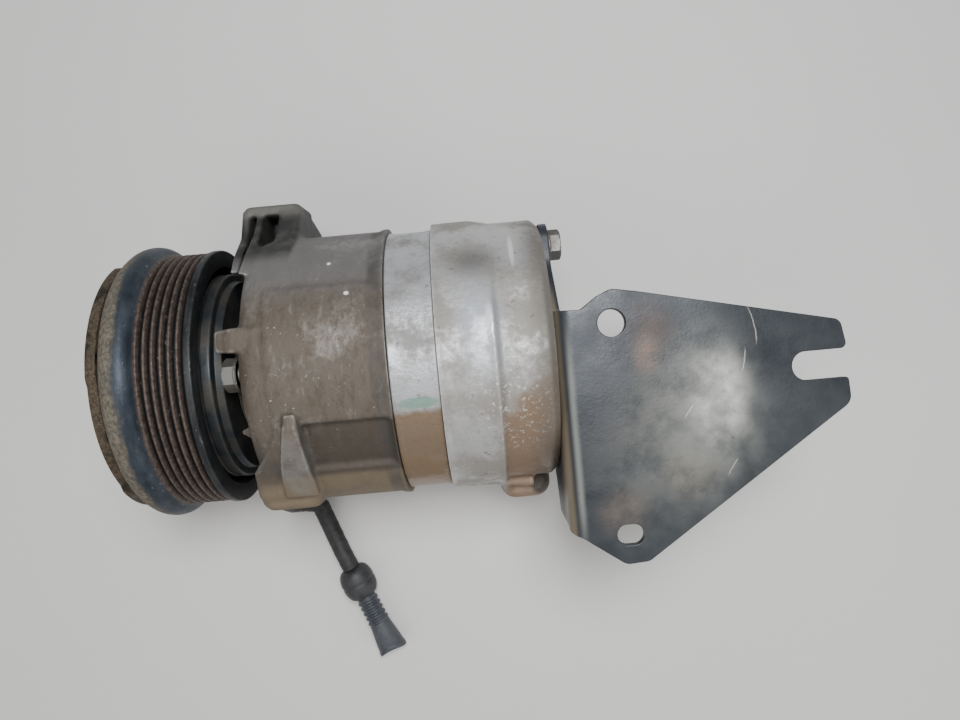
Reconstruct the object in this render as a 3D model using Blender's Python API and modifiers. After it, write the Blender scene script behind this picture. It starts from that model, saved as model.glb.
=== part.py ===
"""Automotive air-conditioning compressor: belt pulley and magnetic clutch, wobble-plate pump, rear bracket.

Frame: X runs along the shaft, from the pulley towards the rear bracket, and Z is up. The compressor lies on
the three mounting ears on its engine side, whose faces are at Z = 0. Stations along the shaft are written as
x, and places across it as y and h, where h is the height above the shaft.
"""

import math

import bmesh
import bpy
from mathutils import Vector

# Clearances.
FIT = 0.0003
CLUTCH_GAP = 0.0008
RUNNING_GAP = 0.0015
SWING_GAP = 0.0015
HEAD_SPACE = 0.0005

# How far cutters run past what they cut.
OVERRUN = 0.002
OPEN_END = 0.001
BOLT_CUT_REACH = 0.012
DISCHARGE_CUT_REACH = 0.015
CONTROL_SEAT_OVERRUN = 0.010
BLANK_MARGIN = 0.010
FLANGE_CUT = (0.0015, 0.0002)

# Casing.
BODY_R = 0.064
BODY_WALL = 0.0052
FRONT_X = -0.103
CRANKCASE_LENGTH = 0.064
FRONT_WALL = 0.007
FRONT_ROUND = 0.010
BLOCK_LENGTH = 0.0205
BLOCK_INSET = 0.0012
SEAL_WIDTH = 0.0025
SEAL_THICK = 0.0010
HEAD_LENGTH = 0.0502
HEAD_BAND = 0.0245
HEAD_STEP = 0.0022
HEAD_CHAMFER = 0.003
EAR_CLEARANCE = 0.004

# Pump.
CYLINDERS = 5
BORE_R = 0.015
BORE_PITCH_R = 0.036
FIRST_BORE = math.radians(54)
TILT = math.radians(14)
WOBBLE_R = 0.045
WOBBLE_HALF = 0.0035
JOURNAL_R = 0.0247
JOURNAL_HOLE_R = 0.0105
JOURNAL_HALF = 0.0065
PISTON_LENGTH = 0.020
ROD_R = 0.0032
ROD_BALL_R = 0.005
SOCKET_R = 0.0066
ROTOR_R = 0.038
ROTOR_LENGTH = 0.008
THRUST_LENGTH = 0.003
THRUST_R = 0.020
GUIDE_PIN_R = 0.0022
GUIDE_PIN_INSET = 0.006
GUIDE_PIN_TURN = math.radians(72)

# Shaft.
SHAFT_R = 0.008
HUB_SEAT_R = 0.006
THREAD_R = 0.004
FRONT_BEARING_R = 0.0137
FRONT_BEARING_LENGTH = 0.014
REAR_BEARING_R = 0.012
REAR_BEARING_LENGTH = 0.010
SEAL_R = 0.0127
SEAL_LENGTH = 0.008
OIL_HOLE_R = 0.004
SEAL_WEB = 0.005
SEAL_WEB_GAP = 0.001
SEAL_RING_DEPTH = 0.003
REAR_BEARING_INSET = 0.002
SPRING_WIRE_R = 0.0008
SPRING_LENGTH = 0.0048
SPRING_TURNS = 2.5

# Through bolts.
BOLT_R = 0.004
BOLT_INSET = 0.0115
BOLT_HEAD_R = 0.0075
BOLT_HEAD_LENGTH = 0.0065
BOLT_GRIP = 0.028
SPOT_FACE_DEPTH = 0.0002
SPOT_FACE_MARGIN = 0.001

# Valve stack, in the recess of the rear head.
REED_THICK = 0.0005
VALVE_PLATE_THICK = 0.003
GASKET_THICK = 0.0006
GASKET_INSET = 0.001
STACK_INSET = 0.0039
PORT_HOLE_R = 0.0028
DISCHARGE_PITCH_R = 0.029
REED_HUB_R = 0.012
REED_TIP_R = 0.034
DISCHARGE_CHAMBER_R = 0.021
SUCTION_CHAMBER_INNER_R = 0.026
SUCTION_CHAMBER_OUTER_R = 0.044
CHAMBER_DEPTH = 0.018

# Neck and clutch.
NECK_LENGTH = 0.052
NECK_R = 0.020
NECK_SHOULDER_R = 0.0215
NECK_FOOT_R = 0.030
NECK_FOOT_LENGTH = 0.010
NECK_BORE_R = 0.014
RACE_THICK = 0.0032
BALL_RING_THICK = 0.0024
BALL_BEARING_LENGTH = 0.020
BALL_RING_INSET = 0.003
RING_THICK = 0.0014
RING_DEPTH = 0.0014
RING_GAP = 0.005
PULLEY_RING_STAND = 0.0025
COIL_RING_STAND = 0.003
COIL_R = 0.050
COIL_WALL = 0.003
COIL_PLATE = 0.0037
COIL_PLATE_R = 0.046
COIL_LENGTH = 0.0375
WINDING_INSET = 0.001
PULLEY_HUB_WALL = 0.004
PULLEY_HUB_LIP = 0.002
PULLEY_FACE = 0.0053
PULLEY_REAR_TO_FOOT = 0.018
PULLEY_R = 0.066
RIM_FRONT_R = PULLEY_R - 0.0065
GROOVE_TOP_R = PULLEY_R - 0.0048
GROOVE_DEPTH = 0.0029
GROOVE_PITCH = 0.00356
GROOVES = 6
RIB_TOP_SHARE = 0.18
CROWN_LENGTH = 0.0158
CROWN = ((0.0022, 0.0030), (0.0055, 0.0008), (0.0090, 0.0), (0.0128, 0.0010))
CROWN_STEP = 0.0005
CROWN_STEP_R = 0.0010
LIP_LENGTH = 0.0032
LIP_RISE = 0.0003
ARMATURE_R = 0.060
ARMATURE_HOLE_R = 0.030
ARMATURE_THICK = 0.0048
LEAF_THICK = 0.0014
LEAF_WIDTH = 0.013
LEAF_ROUND_SHARE = 0.45
LEAF_INNER_R = 0.019
LEAF_OUTER_R = 0.047
LEAF_SWEEP = math.radians(55)
LEAVES = 3
HUB_FLANGE_R = 0.027
HUB_FLANGE_THICK = 0.003
HUB_SLEEVE_R = 0.011
HUB_SLEEVE_LENGTH = 0.029
HUB_SHOULDER = 0.001
NUT_R = 0.0075
NUT_LENGTH = 0.0053

# Mounting ears: columns that end in flat faces at Z = 0, each with a tapped hole.
EAR_HOLE_R = 0.0052
EAR_HOLE_DEPTH = 0.024
EAR_CORNER_R = 0.007
UPPER_EAR = {
    "x": (FRONT_X - 0.0080, FRONT_X + 0.0215),
    "y": (0.040, 0.0830),
    "top": 0.005,
    "hole": (FRONT_X + 0.0070, 0.070),
}
LOWER_EAR = {
    "x": (FRONT_X - 0.0025, FRONT_X + 0.0245),
    "y": (-0.0635, -0.036),
    "top": 0.035,
    "hole": (FRONT_X + 0.0110, -0.0515),
}
REAR_EAR_LENGTH = (0.0224, 0.0474)
REAR_EAR_Y = (-0.0745, -0.040)
REAR_EAR_TOP = -0.002
REAR_EAR_HOLE = (0.0363, -0.061)
BUTTRESS_X = (FRONT_X + 0.0095, FRONT_X + 0.0205)
BUTTRESS_TOP = 0.0655
BUTTRESS_FALL = 0.007
BUTTRESS_Y = (-0.056, -0.026)
POINTER_X = (FRONT_X - 0.0085, FRONT_X + 0.0130)
POINTER_Y = (0.0095, 0.0195)
POINTER_TOP = 0.0600
POINTER_LOW = 0.0500
POINTER_TIP_RISE = 0.002
POINTER_FALL = 0.010

# Ports and valves on the rear face and the side of the head.
SUCTION_PORT_R = 0.0085
DISCHARGE_PORT_R = 0.007
SUCTION_PORT = (0.031, -0.020)
DISCHARGE_PORT = (0.004, -0.016)
RELIEF_VALVE_AT = (-0.018, -0.030)
RELIEF_STEM_R = 0.005
RELIEF_STEM_LENGTH = 0.009
RELIEF_SEAT_DEPTH = 0.010
RELIEF_HEX_R = 0.008
RELIEF_HEX_LENGTH = 0.006
RELIEF_CAP_R = 0.004
RELIEF_REACH = 0.010
CONTROL_VALVE_REACH = 0.0384
CONTROL_VALVE_H = -0.044
CONTROL_VALVE_R = 0.0075
CONTROL_VALVE_Y = (0.004, 0.050)

# Rear bracket, folded from sheet: an upright flange on the head's rear face and a plate towards the rear.
SHEET = 0.004
BEND_R = 0.005
PLATE_TOP = 0.052
FLANGE_LOW = -0.004
SLOT_R = 0.0062
SLOT_REACH = 0.1072
SLOT_Y = -0.0180
PLATE_REACH = 0.1254
ROUND_HOLE_R = 0.0060
ROUND_HOLE_REACH = 0.0250
ROUND_HOLE_Y = 0.0079
OVAL_HOLE_R = 0.0044
OVAL_HOLE_LONG = 0.0028
OVAL_HOLE_REACH = 0.0253
OVAL_HOLE_Y = -0.0838
BRACKET_BOLTS = ((0.049, 0.012), (-0.038, 0.022), (0.006, 0.037))
BRACKET_BOLT_HEAD_R = 0.0075
BRACKET_BOLT_HEAD = 0.0062
BRACKET_BOLT_GRIP = 0.012

# Coil lead: its socket behind the coil, the lead, its grommet and its connector.
LEAD_R = 0.005
SOCKET_TURN = math.radians(200)
SOCKET_SIDE = 0.011
SOCKET_REACH = 0.0135
LEAD_ROUTE = (
    (-0.1113, -0.0570, -0.0207),
    (-0.1114, -0.0632, -0.0232),
    (-0.1113, -0.0690, -0.0285),
    (-0.1106, -0.0727, -0.0370),
    (-0.1090, -0.0747, -0.0465),
    (-0.1058, -0.0767, -0.0558),
    (-0.1010, -0.0797, -0.0622),
    (-0.0988, -0.0860, -0.0645),
    (-0.0958, -0.0938, -0.0643),
    (-0.0922, -0.1018, -0.0620),
    (-0.0886, -0.1095, -0.0598),
    (-0.0855, -0.1172, -0.0600),
)
GROMMET_R = 0.0098
GROMMET_LENGTH = 1.8 * GROMMET_R
CONNECTOR_LENGTH = 0.036
CONNECTOR_R = 0.0056
CONNECTOR_MOUTH_R = 0.0075
CONNECTOR_WALL = 0.0018
CONNECTOR_DEPTH = 0.014
CONNECTOR_NECK = 0.55
CONNECTOR_SWELL = 0.0006
CONNECTOR_TAPER = 0.001

# Facets round a full turn.
LARGE = 28
MIDDLE = 20
BEARING = 24
SMALL = 12

# Places that follow from the sizes above.
AXIS_H = PULLEY_R + EAR_CLEARANCE
SEAM_X = FRONT_X + CRANKCASE_LENGTH
CAVITY_R = BODY_R - BODY_WALL
BLOCK_X = SEAM_X + FIT
BLOCK_END_X = BLOCK_X + BLOCK_LENGTH
HEAD_X = BLOCK_END_X + FIT
HEAD_END_X = HEAD_X + HEAD_LENGTH
BOLT_PITCH_R = BODY_R - BOLT_INSET
STACK_R = BODY_R - STACK_INSET
WALL_IN_X = FRONT_X + FRONT_WALL
THRUST_X = WALL_IN_X + FIT
ROTOR_X = THRUST_X + THRUST_LENGTH + FIT
SWING = WOBBLE_R * math.sin(TILT) + WOBBLE_HALF + SWING_GAP
WOBBLE_X = ROTOR_X + ROTOR_LENGTH + SWING
SPIGOT_X = WOBBLE_X + SWING
STROKE_HALF = BORE_PITCH_R * TILT
PISTON_TOP_X = BLOCK_END_X - STROKE_HALF - HEAD_SPACE
PISTON_X = PISTON_TOP_X - PISTON_LENGTH
NECK_X = FRONT_X - NECK_LENGTH
NECK_FOOT_X = FRONT_X - NECK_FOOT_LENGTH
COIL_REAR_X = NECK_FOOT_X - FIT
COIL_BACK_X = COIL_REAR_X - COIL_PLATE
COIL_FRONT_X = COIL_BACK_X - COIL_LENGTH
PULLEY_REAR_X = FRONT_X - PULLEY_REAR_TO_FOOT
PULLEY_WEB_X = COIL_FRONT_X - RUNNING_GAP
PULLEY_FRONT_X = PULLEY_WEB_X - PULLEY_FACE
RIM_INNER_R = COIL_R + RUNNING_GAP
INNER_RACE_R = NECK_R + FIT
BALL_RING_R = INNER_RACE_R + RACE_THICK + FIT
OUTER_RACE_R = BALL_RING_R + BALL_RING_THICK + FIT
PULLEY_BORE_R = OUTER_RACE_R + RACE_THICK + FIT
PULLEY_HUB_R = PULLEY_BORE_R + PULLEY_HUB_WALL
COIL_INNER_R = PULLEY_HUB_R + RUNNING_GAP
BEARING_X = NECK_X + 2 * RING_THICK + 3 * FIT
ARMATURE_X = PULLEY_FRONT_X - CLUTCH_GAP - ARMATURE_THICK
LEAF_X = ARMATURE_X - FIT - LEAF_THICK
HUB_X = LEAF_X - FIT - HUB_FLANGE_THICK
NUT_X = HUB_X - FIT - NUT_LENGTH
SHAFT_FRONT_X = NUT_X - 2 * FIT
HUB_END_X = HUB_X + HUB_FLANGE_THICK + HUB_SLEEVE_LENGTH
FRONT_BEARING_X = WALL_IN_X - FIT - FRONT_BEARING_LENGTH
SEAL_WEB_X = FRONT_BEARING_X - FIT
SEAL_X = SEAL_WEB_X - SEAL_WEB - SEAL_LENGTH
REAR_BEARING_X = SPIGOT_X + REAR_BEARING_INSET
SHAFT_END_X = REAR_BEARING_X + REAR_BEARING_LENGTH
REAR_EAR = {
    "x": (HEAD_X + REAR_EAR_LENGTH[0], HEAD_X + REAR_EAR_LENGTH[1]),
    "y": REAR_EAR_Y,
    "top": REAR_EAR_TOP,
    "hole": (HEAD_X + REAR_EAR_HOLE[0], REAR_EAR_HOLE[1]),
}
CONTROL_VALVE_X = HEAD_X + CONTROL_VALVE_REACH
FLANGE_X = HEAD_END_X + FIT
PLATE_LOW = PLATE_TOP - SHEET
PLATE_TIP_X = FLANGE_X + PLATE_REACH
SLOT_AT = (FLANGE_X + SLOT_REACH, SLOT_Y)
ROUND_HOLE_AT = (FLANGE_X + ROUND_HOLE_REACH, ROUND_HOLE_Y)
OVAL_HOLE_AT = (FLANGE_X + OVAL_HOLE_REACH, OVAL_HOLE_Y)

# Corners of the bracket's plate (x, y, corner radius), then of its flange (y, h, corner radius).
PLATE_CORNERS = (
    (FLANGE_X - OPEN_END, 0.0145, 0),
    (FLANGE_X + 0.0119, 0.0147, 0.003),
    (FLANGE_X + 0.0194, 0.0200, 0.005),
    (FLANGE_X + 0.0259, 0.0228, 0.006),
    (FLANGE_X + 0.0374, 0.0206, 0.020),
    (PLATE_TIP_X - 0.002, 0.0008, 0.004),
    (PLATE_TIP_X, -0.0110, 0.001),
    (PLATE_TIP_X, -0.0350, 0.005),
    (FLANGE_X + 0.0324, -0.0960, 0.006),
    (FLANGE_X + 0.0224, -0.0965, 0.004),
    (FLANGE_X - OPEN_END, -0.0805, 0),
)
FLANGE_CORNERS = (
    (-0.0805, PLATE_TOP + 0.001, 0),
    (-0.0805, FLANGE_LOW + 0.012, 0.004),
    (-0.0560, FLANGE_LOW, 0.010),
    (0.0400, FLANGE_LOW, 0.008),
    (0.0590, 0.0015, 0.008),
    (0.0590, 0.0230, 0.009),
    (0.0380, 0.0260, 0.012),
    (0.0145, PLATE_TOP + 0.001, 0),
)

# The assembly's middle, which stands over the origin.
MIDDLE_X = (SHAFT_FRONT_X + PLATE_TIP_X) / 2
MIDDLE_Y = (UPPER_EAR["y"][1] + PLATE_CORNERS[9][1]) / 2

FINISHES = {
    "cast_aluminium": ((0.58, 0.56, 0.52), 0.55, 0.75),
    "machined_aluminium": ((0.70, 0.70, 0.70), 0.35, 0.9),
    "pulley_steel": ((0.30, 0.29, 0.30), 0.45, 0.85),
    "rusty_steel": ((0.30, 0.20, 0.15), 0.7, 0.5),
    "bright_steel": ((0.62, 0.62, 0.64), 0.3, 1.0),
    "bracket_steel": ((0.22, 0.24, 0.27), 0.4, 0.8),
    "zinc_steel": ((0.50, 0.50, 0.48), 0.4, 0.9),
    "copper": ((0.55, 0.27, 0.14), 0.5, 0.8),
    "gasket_fibre": ((0.10, 0.12, 0.12), 0.8, 0.0),
    "black_rubber": ((0.05, 0.05, 0.05), 0.6, 0.0),
    "lead_sleeve": ((0.20, 0.20, 0.20), 0.55, 0.0),
    "brass": ((0.66, 0.52, 0.26), 0.35, 1.0),
}


def place(x, y=0.0, h=0.0):
    """World position of a station x on the shaft, y across it and h above it."""
    return Vector((x - MIDDLE_X, y - MIDDLE_Y, AXIS_H + h))


def polar(radius, angle):
    """(y, h) at an angle round the shaft, from +Y towards +Z."""
    return radius * math.cos(angle), radius * math.sin(angle)


def clear_scene():
    for obj in list(bpy.data.objects):
        bpy.data.objects.remove(obj, do_unlink=True)


def new_collection(name):
    collection = bpy.data.collections.new(name)
    bpy.context.scene.collection.children.link(collection)
    return collection


def dress(obj, finish):
    """Give a part a Principled material of its own."""
    colour, roughness, metallic = FINISHES[finish]
    material = bpy.data.materials.new(obj.name + "_" + finish)
    material.use_nodes = True
    shader = material.node_tree.nodes["Principled BSDF"]
    shader.inputs["Base Color"].default_value = (*colour, 1.0)
    shader.inputs["Roughness"].default_value = roughness
    shader.inputs["Metallic"].default_value = metallic
    obj.data.materials.append(material)


def add_object(name, mesh, finish=None, location=(0, 0, 0), rotation=(0, 0, 0), cutters=None):
    """A part when it has a finish, and otherwise a hidden helper for a Boolean."""
    obj = bpy.data.objects.new(name, mesh)
    obj.location = location
    obj.rotation_euler = rotation
    if finish:
        PARTS.objects.link(obj)
        dress(obj, finish)
    else:
        (cutters or CUTTERS).objects.link(obj)
        obj.hide_render = True
        obj.display_type = "WIRE"
    return obj


def boolean(obj, operation, other):
    """Cut, join or keep with one helper, or with a collection of them."""
    modifier = obj.modifiers.new(operation.lower() + "_" + other.name, "BOOLEAN")
    modifier.operation = operation
    modifier.solver = "EXACT"
    if isinstance(other, bpy.types.Collection):
        modifier.operand_type = "COLLECTION"
        modifier.collection = other
    else:
        modifier.object = other
    return obj


def turned(name, outline, finish=None, y=0.0, h=0.0, steps=MIDDLE, origin_x=0.0, cutters=None):
    """A shape turned round an axis parallel to the shaft. The outline is (x, radius) round its section, and
    starts and ends on the axis where the shape is solid in the middle."""
    on_axis = outline[0][1] == 0.0
    area = sum(
        (r1 * z2 - r2 * z1)
        for (z1, r1), (z2, r2) in zip(outline, outline[1:] + outline[:1], strict=True)
    )
    points = list(reversed(outline)) if area > 0 else list(outline)
    mesh = bpy.data.meshes.new(name)
    edges = [(i, i + 1) for i in range(len(points) - 1)]
    if not on_axis:
        edges.append((len(points) - 1, 0))
    mesh.from_pydata([(r, 0.0, x - origin_x) for x, r in points], edges, [])
    obj = add_object(name, mesh, finish, place(origin_x, y, h), (0, math.pi / 2, 0), cutters)
    screw = obj.modifiers.new("turn", "SCREW")
    screw.axis = "Z"
    screw.angle = 2 * math.pi
    screw.steps = steps
    screw.render_steps = steps
    screw.use_merge_vertices = True
    screw.merge_threshold = 0.00001
    screw.use_smooth_shade = True
    return obj


def rod(name, x1, x2, radius, finish=None, y=0.0, h=0.0, steps=SMALL, origin_x=0.0, cutters=None):
    """A plain cylinder along the shaft's direction."""
    outline = [(x1, 0.0), (x1, radius), (x2, radius), (x2, 0.0)]
    return turned(name, outline, finish, y, h, steps, origin_x, cutters)


def ring(name, x1, x2, inner, outer, finish=None, steps=MIDDLE, origin_x=0.0):
    """A plain ring round the shaft."""
    outline = [(x1, inner), (x1, outer), (x2, outer), (x2, inner)]
    return turned(name, outline, finish, steps=steps, origin_x=origin_x)


def prism(name, radius, length, centre, direction, sides, finish=None, cutters=None):
    """A prism or cylinder centred on a world point, along a world direction."""
    mesh = bpy.data.meshes.new(name)
    solid = bmesh.new()
    bmesh.ops.create_cone(
        solid, cap_ends=True, segments=sides, radius1=radius, radius2=radius, depth=length
    )
    solid.to_mesh(mesh)
    solid.free()
    turn = Vector((0, 0, 1)).rotation_difference(Vector(direction)).to_euler()
    return add_object(name, mesh, finish, centre, turn, cutters)


def block(name, size, centre, finish=None, turn=0.0):
    """A box of a size along x, y and h, turned about the shaft's direction."""
    mesh = bpy.data.meshes.new(name)
    solid = bmesh.new()
    bmesh.ops.create_cube(solid, size=1.0)
    bmesh.ops.scale(solid, vec=size, verts=solid.verts)
    solid.to_mesh(mesh)
    solid.free()
    return add_object(name, mesh, finish, centre, (turn, 0, 0))


def rounded(corners, facets=4):
    """The points of a closed outline, with each corner (a, b, radius) rounded off by an arc."""
    points = []
    for i, (a, b, radius) in enumerate(corners):
        here = Vector((a, b))
        before = (Vector(corners[i - 1][:2]) - here).normalized()
        after = (Vector(corners[(i + 1) % len(corners)][:2]) - here).normalized()
        if radius == 0:
            points.append(here)
            continue
        half = before.angle(after) / 2
        centre = here + (before + after).normalized() * (radius / math.sin(half))
        first = here + before * (radius / math.tan(half)) - centre
        last = here + after * (radius / math.tan(half)) - centre
        sweep = first.angle_signed(last)
        start = math.atan2(first.y, first.x)
        for k in range(facets + 1):
            angle = start - sweep * k / facets
            points.append(centre + radius * Vector((math.cos(angle), math.sin(angle))))
    return points


def flat_mesh(name, outlines, thick):
    """A mesh of flat outlines in the local XY plane, the first one solid and the others holes."""
    curve = bpy.data.curves.new(name, "CURVE")
    curve.dimensions = "2D"
    curve.fill_mode = "BOTH"
    curve.extrude = thick / 2
    for outline in outlines:
        spline = curve.splines.new("POLY")
        spline.points.add(len(outline) - 1)
        spline.use_cyclic_u = True
        for point, (a, b) in zip(spline.points, outline, strict=True):
            point.co = (a, b, 0, 1)
    helper = bpy.data.objects.new(name, curve)
    CUTTERS.objects.link(helper)
    bpy.context.view_layer.update()
    evaluated = helper.evaluated_get(bpy.context.evaluated_depsgraph_get())
    mesh = bpy.data.meshes.new_from_object(evaluated)
    bpy.data.objects.remove(helper)
    solid = bmesh.new()
    solid.from_mesh(mesh)
    bmesh.ops.remove_doubles(solid, verts=solid.verts, dist=0.00001)
    bmesh.ops.recalc_face_normals(solid, faces=solid.faces)
    solid.to_mesh(mesh)
    solid.free()
    return mesh


def slab_xy(name, outlines, h1, h2, finish=None):
    """Outlines in x and y, standing from height h1 to h2."""
    mesh = flat_mesh(name, outlines, h2 - h1)
    return add_object(name, mesh, finish, place(0, 0, (h1 + h2) / 2))


def slab_yh(name, outlines, x1, x2, finish=None):
    """Outlines in y and h, reaching from station x1 to x2."""
    mesh = flat_mesh(name, outlines, x2 - x1)
    turn = (math.pi / 2, 0, math.pi / 2)
    return add_object(name, mesh, finish, place((x1 + x2) / 2), turn)


def slab_xh(name, outlines, y1, y2, finish=None):
    """Outlines in x and h, reaching from y1 to y2."""
    mesh = flat_mesh(name, outlines, y2 - y1)
    return add_object(name, mesh, finish, place(0, (y1 + y2) / 2), (math.pi / 2, 0, 0))


def circle(radius, a=0.0, b=0.0, sides=SMALL):
    return [
        (a + radius * math.cos(2 * math.pi * k / sides), b + radius * math.sin(2 * math.pi * k / sides))
        for k in range(sides)
    ]


def bore_angles():
    return [FIRST_BORE + 2 * math.pi * i / CYLINDERS for i in range(CYLINDERS)]


def bolt_angles():
    """The bolts stand between the bores."""
    return [angle - math.pi / CYLINDERS for angle in bore_angles()]


def around(name, angles, pitch_r, x1, x2, radius, steps=SMALL):
    """A collection of cylinders on a pitch circle round the shaft, for one Boolean."""
    group = bpy.data.collections.new(name)
    CUTTERS.children.link(group)
    for i, angle in enumerate(angles):
        y, h = polar(pitch_r, angle)
        rod(f"{name}_{i + 1}", x1, x2, radius, None, y, h, steps, 0.0, group)
    return group


def box_outline(x_range, y_range, radius):
    """A rectangle with rounded corners."""
    (x1, x2), (y1, y2) = x_range, y_range
    return rounded([(x1, y1, radius), (x2, y1, radius), (x2, y2, radius), (x1, y2, radius)])


def add_ear(casing, name, ear):
    """Join a mounting ear to a casing. Its tapped hole is cut later, with cut_ear_hole."""
    outline = box_outline(ear["x"], ear["y"], EAR_CORNER_R)
    boolean(casing, "UNION", slab_xy(name, [outline], -AXIS_H, ear["top"]))


def cut_ear_hole(casing, name, ear):
    x, y = ear["hole"]
    start = -AXIS_H - OVERRUN
    end = -AXIS_H + EAR_HOLE_DEPTH
    centre = place(x, y, (start + end) / 2)
    cutter = prism(name + "_hole", EAR_HOLE_R, end - start, centre, (0, 0, 1), SMALL)
    boolean(casing, "DIFFERENCE", cutter)


def make_front_housing():
    """Crankcase with its neck for the clutch, two ears, a buttress and a small pointer."""
    groove_x = NECK_X + RING_THICK
    coil_groove_x = COIL_BACK_X - FIT - RING_THICK
    shoulder_x = BEARING_X + BALL_BEARING_LENGTH + FIT
    outline = [
        (NECK_X, 0.0),
        (NECK_X, NECK_R),
        (groove_x, NECK_R),
        (groove_x, NECK_R - RING_DEPTH),
        (groove_x + RING_THICK + 2 * FIT, NECK_R - RING_DEPTH),
        (groove_x + RING_THICK + 2 * FIT, NECK_R),
        (shoulder_x, NECK_R),
        (shoulder_x, NECK_SHOULDER_R),
        (coil_groove_x - FIT, NECK_SHOULDER_R),
        (coil_groove_x - FIT, NECK_SHOULDER_R - RING_DEPTH),
        (coil_groove_x + RING_THICK + FIT / 2, NECK_SHOULDER_R - RING_DEPTH),
        (coil_groove_x + RING_THICK + FIT / 2, NECK_SHOULDER_R),
        (NECK_FOOT_X, NECK_SHOULDER_R),
        (NECK_FOOT_X, NECK_FOOT_R),
        (FRONT_X, NECK_FOOT_R),
    ]
    for k in range(5):
        angle = math.pi / 2 * k / 4
        outline.append(
            (
                FRONT_X + FRONT_ROUND * (1 - math.cos(angle)),
                BODY_R - FRONT_ROUND * (1 - math.sin(angle)),
            )
        )
    outline += [(SEAM_X, BODY_R), (SEAM_X, 0.0)]
    casing = turned("front_housing", outline, "cast_aluminium", steps=LARGE)
    add_ear(casing, "upper_front_ear", UPPER_EAR)
    add_ear(casing, "lower_front_ear", LOWER_EAR)
    low, high = BUTTRESS_Y
    buttress = [(low, 0.0), (low, LOWER_EAR["top"]), (high, BUTTRESS_TOP - BUTTRESS_FALL), (high, 0.0)]
    boolean(casing, "UNION", slab_yh("buttress", [buttress], *BUTTRESS_X))
    pointer = [
        (POINTER_X[0], POINTER_LOW + POINTER_TIP_RISE),
        (POINTER_X[1], POINTER_LOW - POINTER_FALL),
        (POINTER_X[1], POINTER_TOP),
        (POINTER_X[0], POINTER_TOP),
    ]
    boolean(casing, "UNION", slab_xh("pointer", [pointer], *POINTER_Y))
    cavity = turned(
        "cavity",
        [
            (NECK_X - OPEN_END, 0.0),
            (NECK_X - OPEN_END, NECK_BORE_R),
            (SEAL_X - RING_THICK - FIT, NECK_BORE_R),
            (SEAL_X - RING_THICK - FIT, SEAL_R + FIT),
            (SEAL_X + SEAL_LENGTH + FIT, SEAL_R + FIT),
            (SEAL_X + SEAL_LENGTH + FIT, SHAFT_R + SEAL_WEB_GAP),
            (SEAL_WEB_X, SHAFT_R + SEAL_WEB_GAP),
            (SEAL_WEB_X, FRONT_BEARING_R + FIT),
            (WALL_IN_X, FRONT_BEARING_R + FIT),
            (WALL_IN_X, CAVITY_R),
            (SEAM_X + OPEN_END, CAVITY_R),
            (SEAM_X + OPEN_END, 0.0),
        ],
        steps=LARGE,
    )
    boolean(casing, "DIFFERENCE", cavity)
    boolean(casing, "DIFFERENCE", BOLT_HOLES)
    spot_x = (FRONT_X - NECK_FOOT_LENGTH, FRONT_X + SPOT_FACE_DEPTH)
    spot_faces = around("spot_faces", bolt_angles(), BOLT_PITCH_R, *spot_x, BOLT_HEAD_R + SPOT_FACE_MARGIN)
    boolean(casing, "DIFFERENCE", spot_faces)
    cut_ear_hole(casing, "upper_front_ear", UPPER_EAR)
    cut_ear_hole(casing, "lower_front_ear", LOWER_EAR)


def make_cylinder_block():
    """Block with five bores. A thinner spigot reaches into the crankcase."""
    outline = [
        (SPIGOT_X, REAR_BEARING_R + FIT),
        (SPIGOT_X, CAVITY_R - FIT),
        (BLOCK_X - SEAL_WIDTH - 2 * FIT, CAVITY_R - FIT),
        (BLOCK_X - SEAL_WIDTH - 2 * FIT, CAVITY_R - 2 * FIT - SEAL_THICK),
        (BLOCK_X, CAVITY_R - 2 * FIT - SEAL_THICK),
        (BLOCK_X, BODY_R - BLOCK_INSET),
        (BLOCK_END_X, BODY_R - BLOCK_INSET),
        (BLOCK_END_X, OIL_HOLE_R),
        (SHAFT_END_X + FIT, OIL_HOLE_R),
        (SHAFT_END_X + FIT, REAR_BEARING_R + FIT),
    ]
    casing = turned("cylinder_block", outline, "cast_aluminium", steps=LARGE)
    bore_x = (SPIGOT_X - OVERRUN, BLOCK_END_X + OVERRUN)
    bores = around("bores", bore_angles(), BORE_PITCH_R, *bore_x, BORE_R, BEARING)
    boolean(casing, "DIFFERENCE", bores)
    boolean(casing, "DIFFERENCE", BOLT_HOLES)


def stack_stations():
    """Start and end of each layer between the block and the head, in order."""
    stations = {}
    x = HEAD_X
    layers = (
        ("suction_reed_plate", REED_THICK),
        ("valve_plate", VALVE_PLATE_THICK),
        ("discharge_reed_plate", REED_THICK),
        ("head_gasket", GASKET_THICK),
    )
    for name, thick in layers:
        stations[name] = (x, x + thick)
        x += thick + FIT
    stations["end"] = (x, x)
    return stations


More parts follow.
